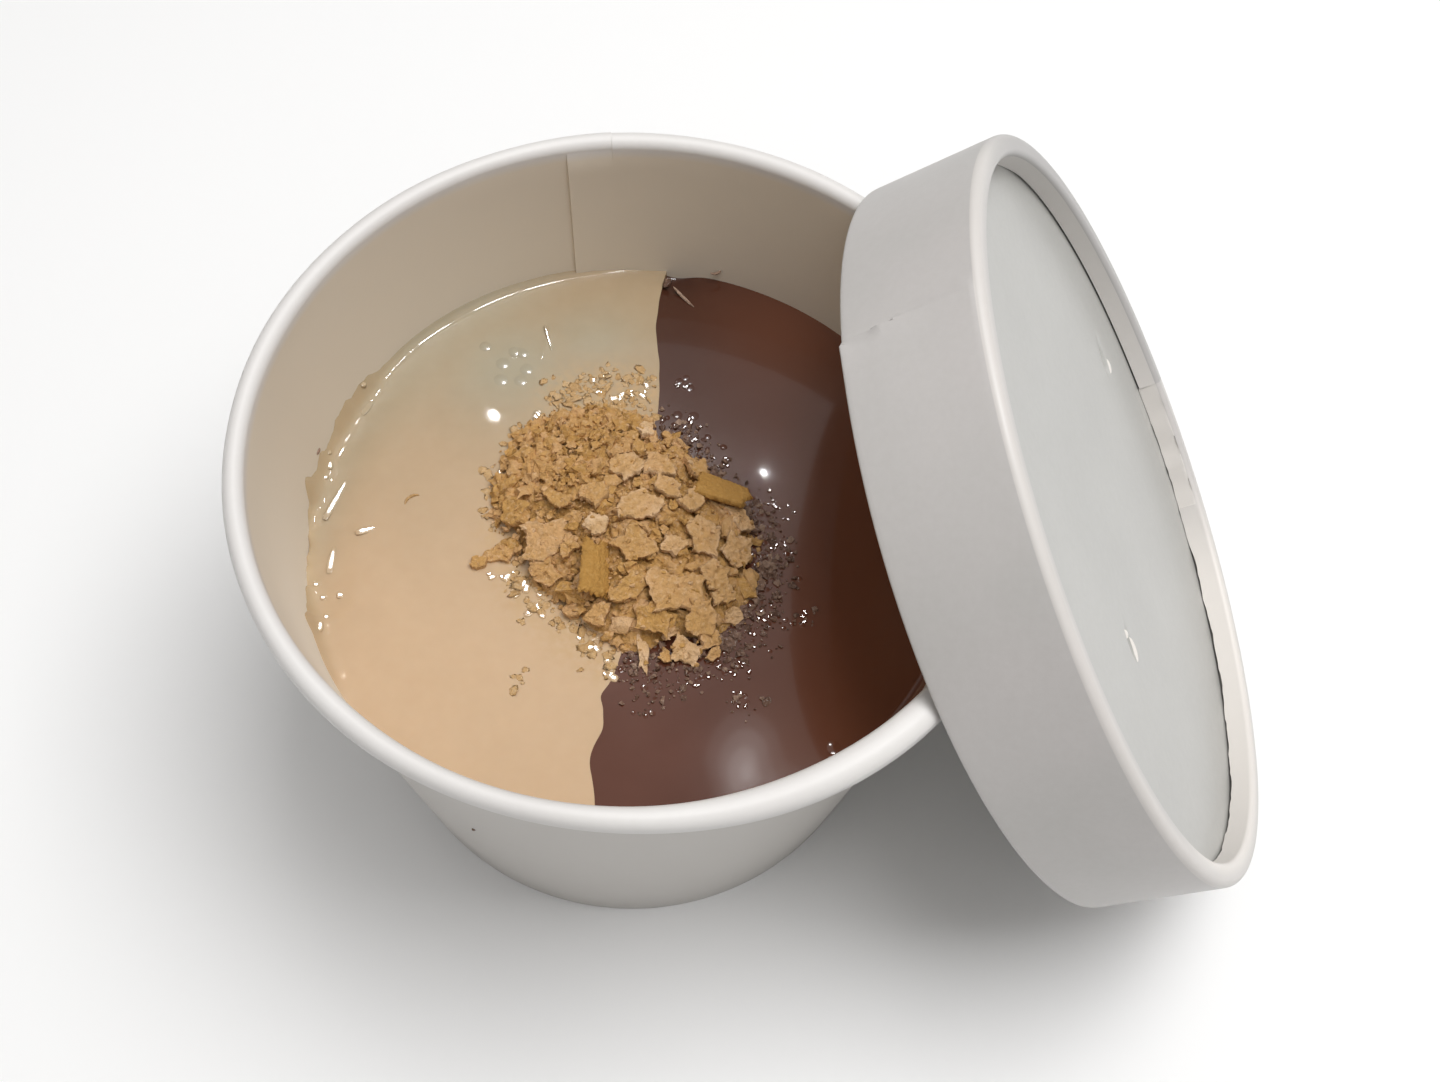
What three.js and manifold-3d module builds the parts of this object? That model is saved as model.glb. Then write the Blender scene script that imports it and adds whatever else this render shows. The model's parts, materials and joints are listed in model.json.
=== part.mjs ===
// Paper pudding cup filled with two puddings side by side and topped with a heap of biscuit crumbs.
// Its loose paper lid stands on edge beside it and leans on the rim.
// Millimetres, +Z up, standing on z = 0, with the lid towards +X.

import * as THREE from 'three';
import { mergeVertices } from 'three/addons/utils/BufferGeometryUtils.js';
import Module from 'manifold-3d';

const { degToRad, lerp, mapLinear, seededRandom } = THREE.MathUtils;

// Every piece
const sides = 48; // facets round a turned piece
const arcSteps = 5; // half the facets of a rounded edge
const fitGap = 0.3; // clearance where pieces touch

// Cup
const cupHeight = 70;
const cupPaper = 0.5;
const rimRadius = 49; // outside of the rolled rim
const rimRoll = 1.35; // radius of the roll's section
const rimRollEnd = degToRad(-120); // where the rolled paper stops, round the section
const footRadius = 37; // outside of the foot
const footFold = 5.4; // height of the paper turned up inside the foot
const floorHeight = 6.4; // underside of the recessed floor
const sideSeam = { angle: degToRad(97), width: 8, stand: 0.35, from: 0.6, to: 66 };

// Lid, measured along its own axis from the mouth
const lidHeight = 17.9;
const lidPaper = 0.6;
const lidMouthRadius = 50.2;
const lidNeck = { radius: 50.55, height: 14.6 }; // the band just under its rounded edge
const lidEdgeRadius = 51.1; // outside of the rounded edge
const lidEdgeRoll = 1.6; // radius of the rounded edge's section
const lidEdgeStart = degToRad(-45); // where the edge leaves the band, round the section
const lidRecess = 3.55; // from the rounded edge down to the disc
const discPaper = 0.55;
const discRadius = 49.6;
const discFlange = 1.9; // height of the disc's edge, turned up inside the band
const discDish = 1; // how far the disc sinks at its middle
const lidSeam = { angle: degToRad(176), width: 7, stand: 0.3, from: 0.4, to: 14.4 };

// How the lid leans
const lidLean = degToRad(32.4); // the lid's axis above the horizontal
const lidContactRadius = 24; // where the rim meets the disc, from the lid's axis

// Puddings
const puddingLevel = 46.7;
const meniscusRise = 1.1; // how far the pudding climbs the paper
const meniscusReach = 3;
const divide = { offset: -0.1, slope: 0.15, wave: 1, wavelength: 33, crest: 20, steps: 24 };

// Biscuit crumbs, placed from the cup's axis and from the puddings' level
const heap = {
  x: -1,
  y: 0.5,
  radius: 17.3,
  stretch: 3.1, // how much the outline is longer one way and narrower the other
  turn: degToRad(-52), // the long way of the outline
  height: 5.2,
  blunt: 0.75, // below 1, the dome's sides are steeper than its top
  coreShare: 0.95, // the bare dome against the outline
  sides: 24,
  rings: 5,
};
const flake = {
  count: 100,
  corners: { least: 4, most: 6 },
  length: { least: 1.5, most: 3.9 }, // from the middle to a corner
  lengthBias: 1.6, // above 1, small flakes outnumber large ones
  breadth: { least: 0.55, most: 0.9 }, // against the length
  thickness: { least: 0.8, most: 1.7 },
  corner: { least: 0.75, most: 1.05 }, // how far a corner reaches, against the length
  cornerStray: 0.3, // how far a corner strays round the outline
  tip: degToRad(38),
  lift: 0.2,
};
const wafers = [
  { x: -5.4, y: -7.2, z: 4.3, length: 3.9, width: 1.9, tilt: degToRad(62), turn: degToRad(82) },
  { x: 11, y: 4, z: 3.6, length: 4.6, width: 2.6, tilt: degToRad(24), turn: degToRad(-14) },
];
const waferThickness = 1.1;
const crumbSeed = 7;

const wasm = await Module();
wasm.setup();

// A closed geometry as a solid that can be joined and cut
function toSolid(geometry) {
  geometry.deleteAttribute('normal');
  geometry.deleteAttribute('uv');
  const merged = mergeVertices(geometry);
  const vertProperties = merged.attributes.position.array;
  const triVerts = new Uint32Array(merged.index.array);
  return new wasm.Manifold(new wasm.Mesh({ numProp: 3, vertProperties, triVerts }));
}

function toGeometry(solid) {
  const { vertProperties, triVerts } = solid.getMesh();
  const geometry = new THREE.BufferGeometry();
  geometry.setAttribute('position', new THREE.BufferAttribute(vertProperties, 3));
  geometry.setIndex(new THREE.BufferAttribute(triVerts, 1));
  geometry.computeVertexNormals();
  return geometry;
}

// A profile of radius and height, turned round the Z axis
function turned(profile, facets = sides) {
  const geometry = new THREE.LatheGeometry(profile.getPoints(arcSteps), facets);
  return geometry.rotateX(Math.PI / 2);
}

// The strip where a paper blank overlaps itself, laid on the outside of a slanting wall
function seamStrip(seam, wallRadius) {
  const length = seam.to - seam.from;
  const middle = (seam.from + seam.to) / 2;
  const slant = Math.atan2(wallRadius(seam.to) - wallRadius(seam.from), length);
  const strip = new THREE.BoxGeometry(seam.width, 2 * seam.stand, length);
  strip.rotateX(-slant);
  strip.translate(0, wallRadius(middle), middle);
  return strip.rotateZ(seam.angle - Math.PI / 2);
}

function part(name, geometry, color, roughness) {
  const mesh = new THREE.Mesh(geometry, new THREE.MeshStandardMaterial({ color, roughness, metalness: 0 }));
  mesh.name = name;
  return mesh;
}

// Cup

const rim = new THREE.Vector2(rimRadius - rimRoll, cupHeight - rimRoll); // middle of the roll's section
const wallOuter = (z) => mapLinear(z, 0, rim.y, footRadius, rim.x - rimRoll + cupPaper);
const wallInner = (z) => wallOuter(z) - cupPaper;
const flangeOuter = (z) => wallInner(z) - fitGap;
const flangeInner = (z) => flangeOuter(z) - cupPaper;
const foldOuter = (z) => flangeInner(z) - fitGap;
const foldInner = (z) => foldOuter(z) - cupPaper;
const floorTop = floorHeight + cupPaper;

// The wall, rolled outwards at the rim and turned in and up round the floor's flange at the foot
function cupWall() {
  const profile = new THREE.Path();
  profile.moveTo(foldInner(0), 0);
  profile.lineTo(footRadius, 0);
  profile.absarc(rim.x, rim.y, rimRoll - cupPaper, Math.PI, rimRollEnd, true);
  profile.absarc(rim.x, rim.y, rimRoll, rimRollEnd, Math.PI, false);
  profile.lineTo(wallInner(cupPaper), cupPaper);
  profile.lineTo(foldOuter(cupPaper), cupPaper);
  profile.lineTo(foldOuter(footFold), footFold);
  profile.lineTo(foldInner(footFold), footFold);
  profile.closePath();
  const wall = toSolid(turned(profile));
  return toGeometry(wall.add(toSolid(seamStrip(sideSeam, wallOuter))));
}

// The recessed floor, a disc whose edge is turned down into the foot's fold
function cupFloor() {
  const flangeEnd = cupPaper + fitGap;
  const profile = new THREE.Path();
  profile.moveTo(0, floorHeight);
  profile.lineTo(flangeInner(floorHeight), floorHeight);
  profile.lineTo(flangeInner(flangeEnd), flangeEnd);
  profile.lineTo(flangeOuter(flangeEnd), flangeEnd);
  profile.lineTo(flangeOuter(floorTop), floorTop);
  profile.lineTo(0, floorTop);
  return turned(profile);
}

// Puddings

const divideAt = (y) => {
  const phase = (2 * Math.PI * (y - divide.crest)) / divide.wavelength;
  return divide.offset + divide.slope * y + divide.wave * Math.cos(phase);
};

// All the pudding that the cup holds, up to its level
function filling() {
  const bottom = floorTop + fitGap;
  const edge = wallInner(puddingLevel) - fitGap;
  const profile = new THREE.Path();
  profile.moveTo(0, bottom);
  profile.lineTo(wallInner(bottom) - fitGap, bottom);
  profile.lineTo(edge, puddingLevel + meniscusRise);
  profile.quadraticCurveTo(edge - meniscusReach / 4, puddingLevel, edge - meniscusReach, puddingLevel);
  profile.lineTo(0, puddingLevel);
  return toSolid(turned(profile));
}

// The filling on one side of the wavy line between the two puddings
function puddingSide(sign) {
  const outline = [];
  for (let i = 0; i <= divide.steps; i++) {
    const y = lerp(-rimRadius, rimRadius, i / divide.steps);
    outline.push(new THREE.Vector2(divideAt(y) + (sign * fitGap) / 2, y));
  }
  outline.push(new THREE.Vector2(sign * rimRadius, rimRadius));
  outline.push(new THREE.Vector2(sign * rimRadius, -rimRadius));
  const block = new THREE.ExtrudeGeometry(new THREE.Shape(outline), { depth: cupHeight, bevelEnabled: false });
  return toGeometry(filling().intersect(toSolid(block)));
}

// Crumbs

const goldenAngle = Math.PI * (3 - Math.sqrt(5));
const between = ({ least, most }) => lerp(least, most, seededRandom());
const eitherWay = (most) => most * (2 * seededRandom() - 1);
const heapOutline = (angle) => heap.radius + heap.stretch * Math.cos(2 * (angle - heap.turn));
const heapRise = (share) => heap.height * (1 - share ** 2) ** heap.blunt;

// A low dome inside the heap's uneven outline
function heapCore() {
  const profile = new THREE.Path();
  profile.moveTo(0, -fitGap);
  profile.lineTo(1, -fitGap);
  for (let ring = heap.rings; ring >= 0; ring--) {
    const share = ring / heap.rings;
    profile.lineTo(share, heapRise(share));
  }
  const geometry = turned(profile, heap.sides);
  const place = geometry.attributes.position;
  for (let i = 0; i < place.count; i++) {
    const reach = heap.coreShare * heapOutline(Math.atan2(place.getY(i), place.getX(i)));
    place.setX(i, place.getX(i) * reach);
    place.setY(i, place.getY(i) * reach);
  }
  return toSolid(geometry);
}

// A flat broken plate with uneven corners
function brokenPlate(length, width, thickness) {
  const corners = Math.round(between(flake.corners));
  const outline = [];
  for (let i = 0; i < corners; i++) {
    const angle = (2 * Math.PI * (i + eitherWay(flake.cornerStray))) / corners;
    const reach = between(flake.corner);
    outline.push(new THREE.Vector2(length * reach * Math.cos(angle), width * reach * Math.sin(angle)));
  }
  const plate = new THREE.ExtrudeGeometry(new THREE.Shape(outline), { depth: thickness, bevelEnabled: false });
  return plate.translate(0, 0, -thickness / 2);
}

// Flakes spread evenly over the dome, each tipped its own way
function flakes() {
  const solids = [];
  for (let i = 0; i < flake.count; i++) {
    const share = Math.sqrt((i + 0.5) / flake.count);
    const angle = i * goldenAngle;
    const reach = heap.coreShare * share * heapOutline(angle);
    const length = lerp(flake.length.least, flake.length.most, seededRandom() ** flake.lengthBias);
    const plate = brokenPlate(length, length * between(flake.breadth), between(flake.thickness));
    plate.rotateZ(eitherWay(Math.PI));
    plate.rotateX(eitherWay(flake.tip));
    plate.rotateY(eitherWay(flake.tip));
    plate.translate(reach * Math.cos(angle), reach * Math.sin(angle), heapRise(share) + flake.lift);
    solids.push(toSolid(plate));
  }
  return solids;
}

// The two larger wafer shards that stick out of the heap
function waferShards() {
  return wafers.map((wafer) => {
    const plate = brokenPlate(wafer.length, wafer.width, waferThickness);
    plate.rotateX(wafer.tilt);
    plate.rotateZ(wafer.turn);
    plate.translate(wafer.x - heap.x, wafer.y - heap.y, wafer.z);
    return toSolid(plate);
  });
}

// The outer skin of the largest body, without loose scraps or hollows closed in between flakes
function wholeBody(solid) {
  const shells = solid.decompose();
  return shells.reduce((largest, shell) => (shell.volume() > largest.volume() ? shell : largest));
}

// Core, flakes and shards as one heap, cut off flat just above the puddings
function crumbHeap() {
  seededRandom(crumbSeed);
  const above = new THREE.BoxGeometry(2 * rimRadius, 2 * rimRadius, cupHeight);
  above.translate(0, 0, cupHeight / 2);
  let solid = heapCore();
  for (const piece of [...flakes(), ...waferShards()]) {
    solid = solid.add(piece);
  }
  return toGeometry(wholeBody(solid.intersect(toSolid(above))));
}

// Lid

const edge = new THREE.Vector2(lidEdgeRadius - lidEdgeRoll, lidHeight - lidEdgeRoll); // middle of the roll
const discTop = lidHeight - lidRecess;
const dishAt = (r) => discDish * (1 - (r / discRadius) ** 2);
const bandOuter = (z) => mapLinear(z, 0, lidNeck.height, lidMouthRadius, lidNeck.radius);

// The band, folded inwards over a rounded edge and down to the disc
function lidBand() {
  const hemEnd = discTop + fitGap;
  const hemInner = edge.x - lidEdgeRoll;
  const profile = new THREE.Path();
  profile.moveTo(lidMouthRadius - lidPaper, 0);
  profile.lineTo(lidMouthRadius, 0);
  profile.lineTo(lidNeck.radius, lidNeck.height);
  profile.absarc(edge.x, edge.y, lidEdgeRoll, lidEdgeStart, Math.PI, false);
  profile.lineTo(hemInner, hemEnd);
  profile.lineTo(hemInner + lidPaper, hemEnd);
  profile.absarc(edge.x, edge.y, lidEdgeRoll - lidPaper, Math.PI, 0, true);
  profile.lineTo(lidNeck.radius - lidPaper, lidNeck.height);
  profile.closePath();
  const band = toSolid(turned(profile));
  return toGeometry(band.add(toSolid(seamStrip(lidSeam, bandOuter))));
}

// The disc, a little dished, with its edge turned up inside the band
function lidDisc() {
  const rings = 4;
  const flangeInside = discRadius - discPaper;
  const profile = new THREE.Path();
  profile.moveTo(0, discTop - discPaper - dishAt(0));
  for (let i = 1; i <= rings; i++) {
    const r = (discRadius * i) / rings;
    profile.lineTo(r, discTop - discPaper - dishAt(r));
  }
  profile.lineTo(discRadius, discTop + discFlange);
  profile.lineTo(flangeInside, discTop + discFlange);
  for (let i = rings; i >= 0; i--) {
    const r = (flangeInside * i) / rings;
    profile.lineTo(r, discTop - dishAt(r));
  }
  return turned(profile);
}

// Where the lid's mouth stands on the table so that its disc just meets the rim
function lidFoot() {
  const contact = discTop - discPaper - dishAt(lidContactRadius) - rimRoll - fitGap;
  return rim.x + (rim.y * Math.sin(lidLean) - contact) / Math.cos(lidLean);
}

// Assembly

const heapMesh = part('crumb_heap', crumbHeap(), 0xc79a5f, 0.75);
heapMesh.position.set(heap.x, heap.y, puddingLevel + fitGap);

const cup = new THREE.Group();
cup.add(part('cup_wall', cupWall(), 0xe9e5df, 0.55));
cup.add(part('cup_floor', cupFloor(), 0xe9e5df, 0.55));
cup.add(part('pudding_cream', puddingSide(-1), 0xe3c39d, 0.3));
cup.add(part('pudding_chocolate', puddingSide(1), 0x4f3028, 0.25));
cup.add(heapMesh);

const lid = new THREE.Group();
lid.add(part('lid_band', lidBand(), 0xd9d4ce, 0.5));
lid.add(part('lid_disc', lidDisc(), 0xc9c9c5, 0.3));
lid.rotation.y = Math.PI / 2 - lidLean;
lid.position.set(lidFoot() - lidMouthRadius * Math.sin(lidLean), 0, lidMouthRadius * Math.cos(lidLean));

const puddingCup = new THREE.Group();
puddingCup.add(cup, lid);
const box = new THREE.Box3().setFromObject(puddingCup, true);
puddingCup.position.x = -(box.min.x + box.max.x) / 2; // origin under the middle of the whole

export default puddingCup;
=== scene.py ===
import json
import math

import bmesh
import bpy
import numpy as np
from mathutils import Matrix, Vector, noise

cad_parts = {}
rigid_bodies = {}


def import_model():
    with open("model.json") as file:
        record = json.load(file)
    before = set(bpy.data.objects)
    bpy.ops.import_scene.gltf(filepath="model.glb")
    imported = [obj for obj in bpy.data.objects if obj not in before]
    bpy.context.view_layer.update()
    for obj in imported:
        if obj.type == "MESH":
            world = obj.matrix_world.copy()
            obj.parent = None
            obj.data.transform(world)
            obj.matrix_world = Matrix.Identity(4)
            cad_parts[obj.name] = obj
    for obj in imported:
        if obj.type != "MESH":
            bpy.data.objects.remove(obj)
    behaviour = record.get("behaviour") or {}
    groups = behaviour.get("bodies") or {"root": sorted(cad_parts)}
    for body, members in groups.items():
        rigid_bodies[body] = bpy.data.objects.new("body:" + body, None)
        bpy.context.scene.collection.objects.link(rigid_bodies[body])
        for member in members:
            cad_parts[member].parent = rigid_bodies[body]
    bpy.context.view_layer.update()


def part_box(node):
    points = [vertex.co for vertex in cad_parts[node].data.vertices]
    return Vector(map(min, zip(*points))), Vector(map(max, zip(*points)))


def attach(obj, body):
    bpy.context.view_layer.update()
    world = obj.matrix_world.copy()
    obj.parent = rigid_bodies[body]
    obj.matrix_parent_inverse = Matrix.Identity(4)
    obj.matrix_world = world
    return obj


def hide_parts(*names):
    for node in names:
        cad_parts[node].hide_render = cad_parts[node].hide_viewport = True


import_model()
scene = bpy.context.scene
mm = 0.001
tau = 2 * math.pi
wallLow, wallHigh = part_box("cup_wall")
cupAxis = (wallLow.x + wallHigh.x) / 2  # sizes below are millimetres from the cup's axis and the table
print("frame loaded, the cup's axis is at x =", round(cupAxis / mm, 2), "mm")


# Meshes

weldGap = 1e-7  # metres between points that count as one
lapClear = 0.5  # degrees kept free beside the edge of a lap
lapSteps = np.array([-0.3, -0.02, 0.02, 0.3])  # close angles on either side of that edge


def inFrame(points):
    placed = np.array(points, float) * mm
    placed[:, 0] += cupAxis
    return placed


def makePiece(name, points, faces, finish, crease=40, marks=None, outward=False):
    mesh = bpy.data.meshes.new(name)
    mesh.from_pydata(inFrame(points).tolist(), [], faces)
    for mark, values in (marks or {}).items():
        layer = mesh.attributes.new(mark, "FLOAT", "POINT")
        layer.data.foreach_set("value", np.asarray(values, np.float32))
    shape = bmesh.new()
    shape.from_mesh(mesh)
    bmesh.ops.remove_doubles(shape, verts=shape.verts, dist=weldGap)
    loose = [corner for corner in shape.verts if not corner.link_faces]
    bmesh.ops.delete(shape, geom=loose, context="VERTS")
    if outward:
        bmesh.ops.recalc_face_normals(shape, faces=shape.faces)
    shape.to_mesh(mesh)
    shape.free()
    mesh.shade_smooth()
    mesh.set_sharp_from_angle(angle=math.radians(crease))
    mesh.materials.append(finish)
    piece = bpy.data.objects.new(name, mesh)
    scene.collection.objects.link(piece)
    return piece


def dress(piece, node, slotName):
    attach(piece, "root")
    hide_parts(node)


def gridFaces(rows, columns, closeRows=False, closeColumns=False):
    row = np.arange(rows if closeRows else rows - 1)[:, None]
    column = np.arange(columns if closeColumns else columns - 1)[None, :]
    nextRow, nextColumn = (row + 1) % rows, (column + 1) % columns
    corners = [row * columns + column, nextRow * columns + column,
               nextRow * columns + nextColumn, row * columns + nextColumn]
    return np.stack(np.broadcast_arrays(*corners), -1).reshape(-1, 4).tolist()


def arcPoints(centre, radius, start, end, steps):
    turn = np.radians(np.linspace(start, end, steps + 1))
    return [(centre[0] + radius * math.cos(angle), centre[1] + radius * math.sin(angle)) for angle in turn]


def anglesRound(sides, edges):
    angles = np.linspace(0, 360, sides, endpoint=False)
    for edge in edges:
        angles = angles[np.abs(angles - edge) > lapClear]
        angles = np.append(angles, edge + lapSteps)
    return np.radians(np.sort(angles))


def turnedPoints(radius, turn, height):
    return np.stack(np.broadcast_arrays(radius * np.cos(turn), radius * np.sin(turn), height), -1)


def profileOf(stretches):
    points = [point for stretch, kind in stretches for point in stretch]
    kinds = [kind for stretch, kind in stretches for point in stretch]
    return np.array(points), np.array(kinds)


def flipped(faces):
    return [face[::-1] for face in faces]


def cappedFaces(rings, sides):  # a top point, rings of points and a bottom point, all closed
    faces = []
    last = 1 + (rings - 1) * sides
    for side in range(sides):
        after = (side + 1) % sides
        faces.append([0, 1 + side, 1 + after])
        for inner in range(1, last, sides):
            outer = inner + sides
            faces.append([inner + side, outer + side, outer + after, inner + after])
        faces.append([last + after, last + side, last + sides])
    return faces


def joined(bodies):
    points, faces, start = [], [], 0
    for body, sides in bodies:
        points.append(body)
        faces += [[start + corner for corner in side] for side in sides]
        start += len(body)
    return np.concatenate(points), faces


def alongAcross(x, y, turn):  # turned back by the same angle, it gives x and y again
    cosine, sine = math.cos(math.radians(turn)), math.sin(math.radians(turn))
    return x * cosine + y * sine, y * cosine - x * sine


def degreesRound(x, y):
    return np.degrees(np.arctan2(y, x)) % 360


def hump(value, middle, width):
    return np.exp(-(((value - middle) / width) ** 2))


def spot(x, y, middleX, middleY, reach):
    return hump(np.hypot(x - middleX, y - middleY), 0, reach)


def spots(x, y, places):
    return np.clip(sum(spot(x, y, *place) for place in places), 0, 1)


def smoothStep(low, high, value):
    share = np.clip((value - low) / (high - low), 0, 1)
    return share * share * (3 - 2 * share)


def band(value, start, full, fade, end):  # rises from start to full and falls from fade to end
    return smoothStep(start, full, value) * (1 - smoothStep(fade, end, value))


# Finishes

def newFinish(name):
    finish = bpy.data.materials.new(name)
    finish.use_nodes = True
    tree = finish.node_tree
    tree.nodes.clear()
    shader = tree.nodes.new("ShaderNodeBsdfPrincipled")
    output = tree.nodes.new("ShaderNodeOutputMaterial")
    tree.links.new(shader.outputs[0], output.inputs["Surface"])
    return finish, tree, shader


def openSocket(sockets, label):
    return next(socket for socket in sockets if socket.enabled and socket.name == label)


def setSocket(tree, socket, value):
    if isinstance(value, bpy.types.NodeSocket):
        tree.links.new(value, socket)
    else:
        socket.default_value = value


def addNode(tree, kind, values=None, **settings):
    node = tree.nodes.new(kind)
    for setting, value in settings.items():
        setattr(node, setting, value)
    for label, value in (values or {}).items():
        setSocket(tree, openSocket(node.inputs, label), value)
    return node


def feed(tree, shader, **sockets):
    for label, value in sockets.items():
        setSocket(tree, shader.inputs[label.replace("_", " ")], value)


def maths(tree, operation, first, second, clamp=False):
    node = addNode(tree, "ShaderNodeMath", operation=operation, use_clamp=clamp)
    for socket, value in zip(node.inputs, (first, second)):
        setSocket(tree, socket, value)
    return node.outputs[0]


def grain(tree, scale, detail=3.0, **more):
    place = addNode(tree, "ShaderNodeTexCoord").outputs["Object"]
    values = {"Vector": place, "Scale": scale, "Detail": detail, **more}
    return addNode(tree, "ShaderNodeTexNoise", values).outputs[0]


def ranged(tree, value, low, high, fromLow=0.0, fromHigh=1.0):
    values = {"Value": value, "From Min": fromLow, "From Max": fromHigh, "To Min": low, "To Max": high}
    return addNode(tree, "ShaderNodeMapRange", values).outputs[0]


def blended(tree, share, first, second):
    values = {"Factor": share, "A": first, "B": second}
    node = addNode(tree, "ShaderNodeMix", values, data_type="RGBA")
    return openSocket(node.outputs, "Result")


def markOf(tree, name):
    return addNode(tree, "ShaderNodeAttribute", attribute_name=name).outputs["Fac"]


def raised(tree, height, strength, distance):
    values = {"Height": height, "Strength": strength, "Distance": distance}
    return addNode(tree, "ShaderNodeBump", values).outputs[0]


def glossOf(tree, scale, gloss):  # a wet surface, a little duller in places
    return ranged(tree, grain(tree, scale, 2.0), gloss - 0.01, gloss + 0.02)


def colour(red, green, blue):
    return (red, green, blue, 1.0)


def paperFinish(name, paper):
    finish, tree, shader = newFinish(name)
    cloud = ranged(tree, grain(tree, 45, 2.0), 0.0, 1.0, 0.2, 0.8)
    tint = blended(tree, cloud, paper["light"], paper["shade"])
    pulp = ranged(tree, grain(tree, 900, 5.0, Roughness=0.7), 0.0, 1.0, 0.3, 0.7)
    tint = blended(tree, 0.05, tint, blended(tree, pulp, paper["shade"], colour(1, 1, 1)))
    for side in ("inside", "outside", "bright", "fold"):
        if side in paper:
            tint = blended(tree, markOf(tree, side), tint, paper[side])
    satin = ranged(tree, cloud, paper["satin"] - 0.03, paper["satin"] + 0.03)
    feed(tree, shader, Base_Color=tint, Roughness=satin, Specular_IOR_Level=paper["sheen"],
         Normal=raised(tree, grain(tree, 130, 3.0), 0.08, 0.0006))
    return finish


# Camera at the photograph's angle

view = {
    "position": (-2.17, -111.34, 248.14),
    "target": (12.56, 8.20, 28.59),
    "roll": 4.754,
    "lens": 43.413,
    "sensor": 36,
    "clip": (0.005, 20),  # metres
}


def makeCamera():
    position, target = (Vector(inFrame([view[end]])[0]) for end in ("position", "target"))
    back = (position - target).normalized()
    level = Vector((0, 0, 1)).cross(back).normalized()
    right = Matrix.Rotation(math.radians(view["roll"]), 3, back) @ level
    up = back.cross(right)
    lens = bpy.data.cameras.new("photoCamera")
    lens.lens = view["lens"]
    lens.sensor_width = view["sensor"]
    lens.clip_start, lens.clip_end = view["clip"]
    camera = bpy.data.objects.new("photoCamera", lens)
    rows = [[*row, place] for row, place in zip(zip(right, up, back), position)]
    camera.matrix_world = Matrix(rows + [[0, 0, 0, 1]])
    scene.collection.objects.link(camera)
    scene.camera = camera


makeCamera()
print("camera placed")


# Cup

cup = {
    "sides": 240,
    "floorSides": 96,
    "paper": 0.5,
    "roll": 1.35,  # radius of the rolled rim's section
    "rollEnd": -120,
    "footRadius": 37,
    "footEdge": 0.35,  # radius of the rounded foot
    "footFold": 5.4,
    "foldEdge": 0.2,
    "floor": 6.4,
    "floorBend": 0.6,
    "fit": 0.3,
    "seamInside": 99.6,  # degrees round, the paper's inner end
    "seamOutside": 92.0,  # the paper's outer end
    "seamStep": 0.3,
    "seamFade": 16,
    "wobble": 0.16,
    "rollUneven": 0.045,
    "swellFrom": 250,  # degrees round, where the rolled rim grows wider
    "swellAt": 308,
    "swellTo": 338,
    "swellBy": 1.2,
    "lit": (162, 218, 235, 275),  # degrees round, where the cream lights up the inner wall
    "litFade": (52, 66),
    "litLoss": 0.4,
}
cupPaperLook = {
    "light": colour(0.76, 0.74, 0.72),
    "shade": colour(0.715, 0.69, 0.67),
    # inner wall painted darker and warmer: painted shade, with painted warm light thrown back by the
    # puddings
    "inside": colour(0.725, 0.648, 0.54),
    # outer wall painted greyer: painted shade
    "outside": colour(0.585, 0.555, 0.52),
    "bright": colour(0.92, 0.885, 0.81),  # the wall to the front left, lit up by the cream
    "satin": 0.42,
    "sheen": 0.45,
}

rimRadius = (wallHigh.x - wallLow.x) / 2 / mm
rimMiddle = (rimRadius - cup["roll"], wallHigh.z / mm - cup["roll"])
wallTop = rimMiddle[0] - cup["roll"] + cup["paper"]
cup["slope"] = (wallTop - cup["footRadius"]) / rimMiddle[1]


def wallOuter(z):
    return cup["footRadius"] + cup["slope"] * z


def wallInner(z):
    return wallOuter(z) - cup["paper"]


def cupWallProfile():  # each stretch with how far a lap of the paper moves it, outwards or inwards
    paper, roll, rollEnd = cup["paper"], cup["roll"], cup["rollEnd"]
    fold, slope = cup["footFold"], cup["slope"]
    foldEdge, footEdge = cup["foldEdge"], cup["footEdge"]
    foldOuter = wallInner(0) - 2 * cup["fit"] - paper
    foldInner = foldOuter - paper
    return profileOf([
        (arcPoints((foldInner + foldEdge, foldEdge), foldEdge, 180, 270, 3), 0),
        (arcPoints((cup["footRadius"] - footEdge, footEdge), footEdge, 270, 350, 4), 0),
        ([(wallOuter(z), z) for z in np.linspace(1, 67, 30)], 1),
        (arcPoints(rimMiddle, roll - paper, 180, rollEnd, 28), 0),
        (arcPoints(rimMiddle, roll, rollEnd, 180, 40), 0.4),
        ([(wallInner(z), z) for z in np.linspace(67.5, 1, 30)], -1),
        ([(wallInner(paper), paper), (foldOuter, paper)], 0),
        ([(foldOuter + slope * z, z) for z in (2, 4, fold - 0.1)], 0),
        ([(foldInner + slope * z, z) for z in (fold, 4, 2, 0.4)], 0),
    ])


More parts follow.
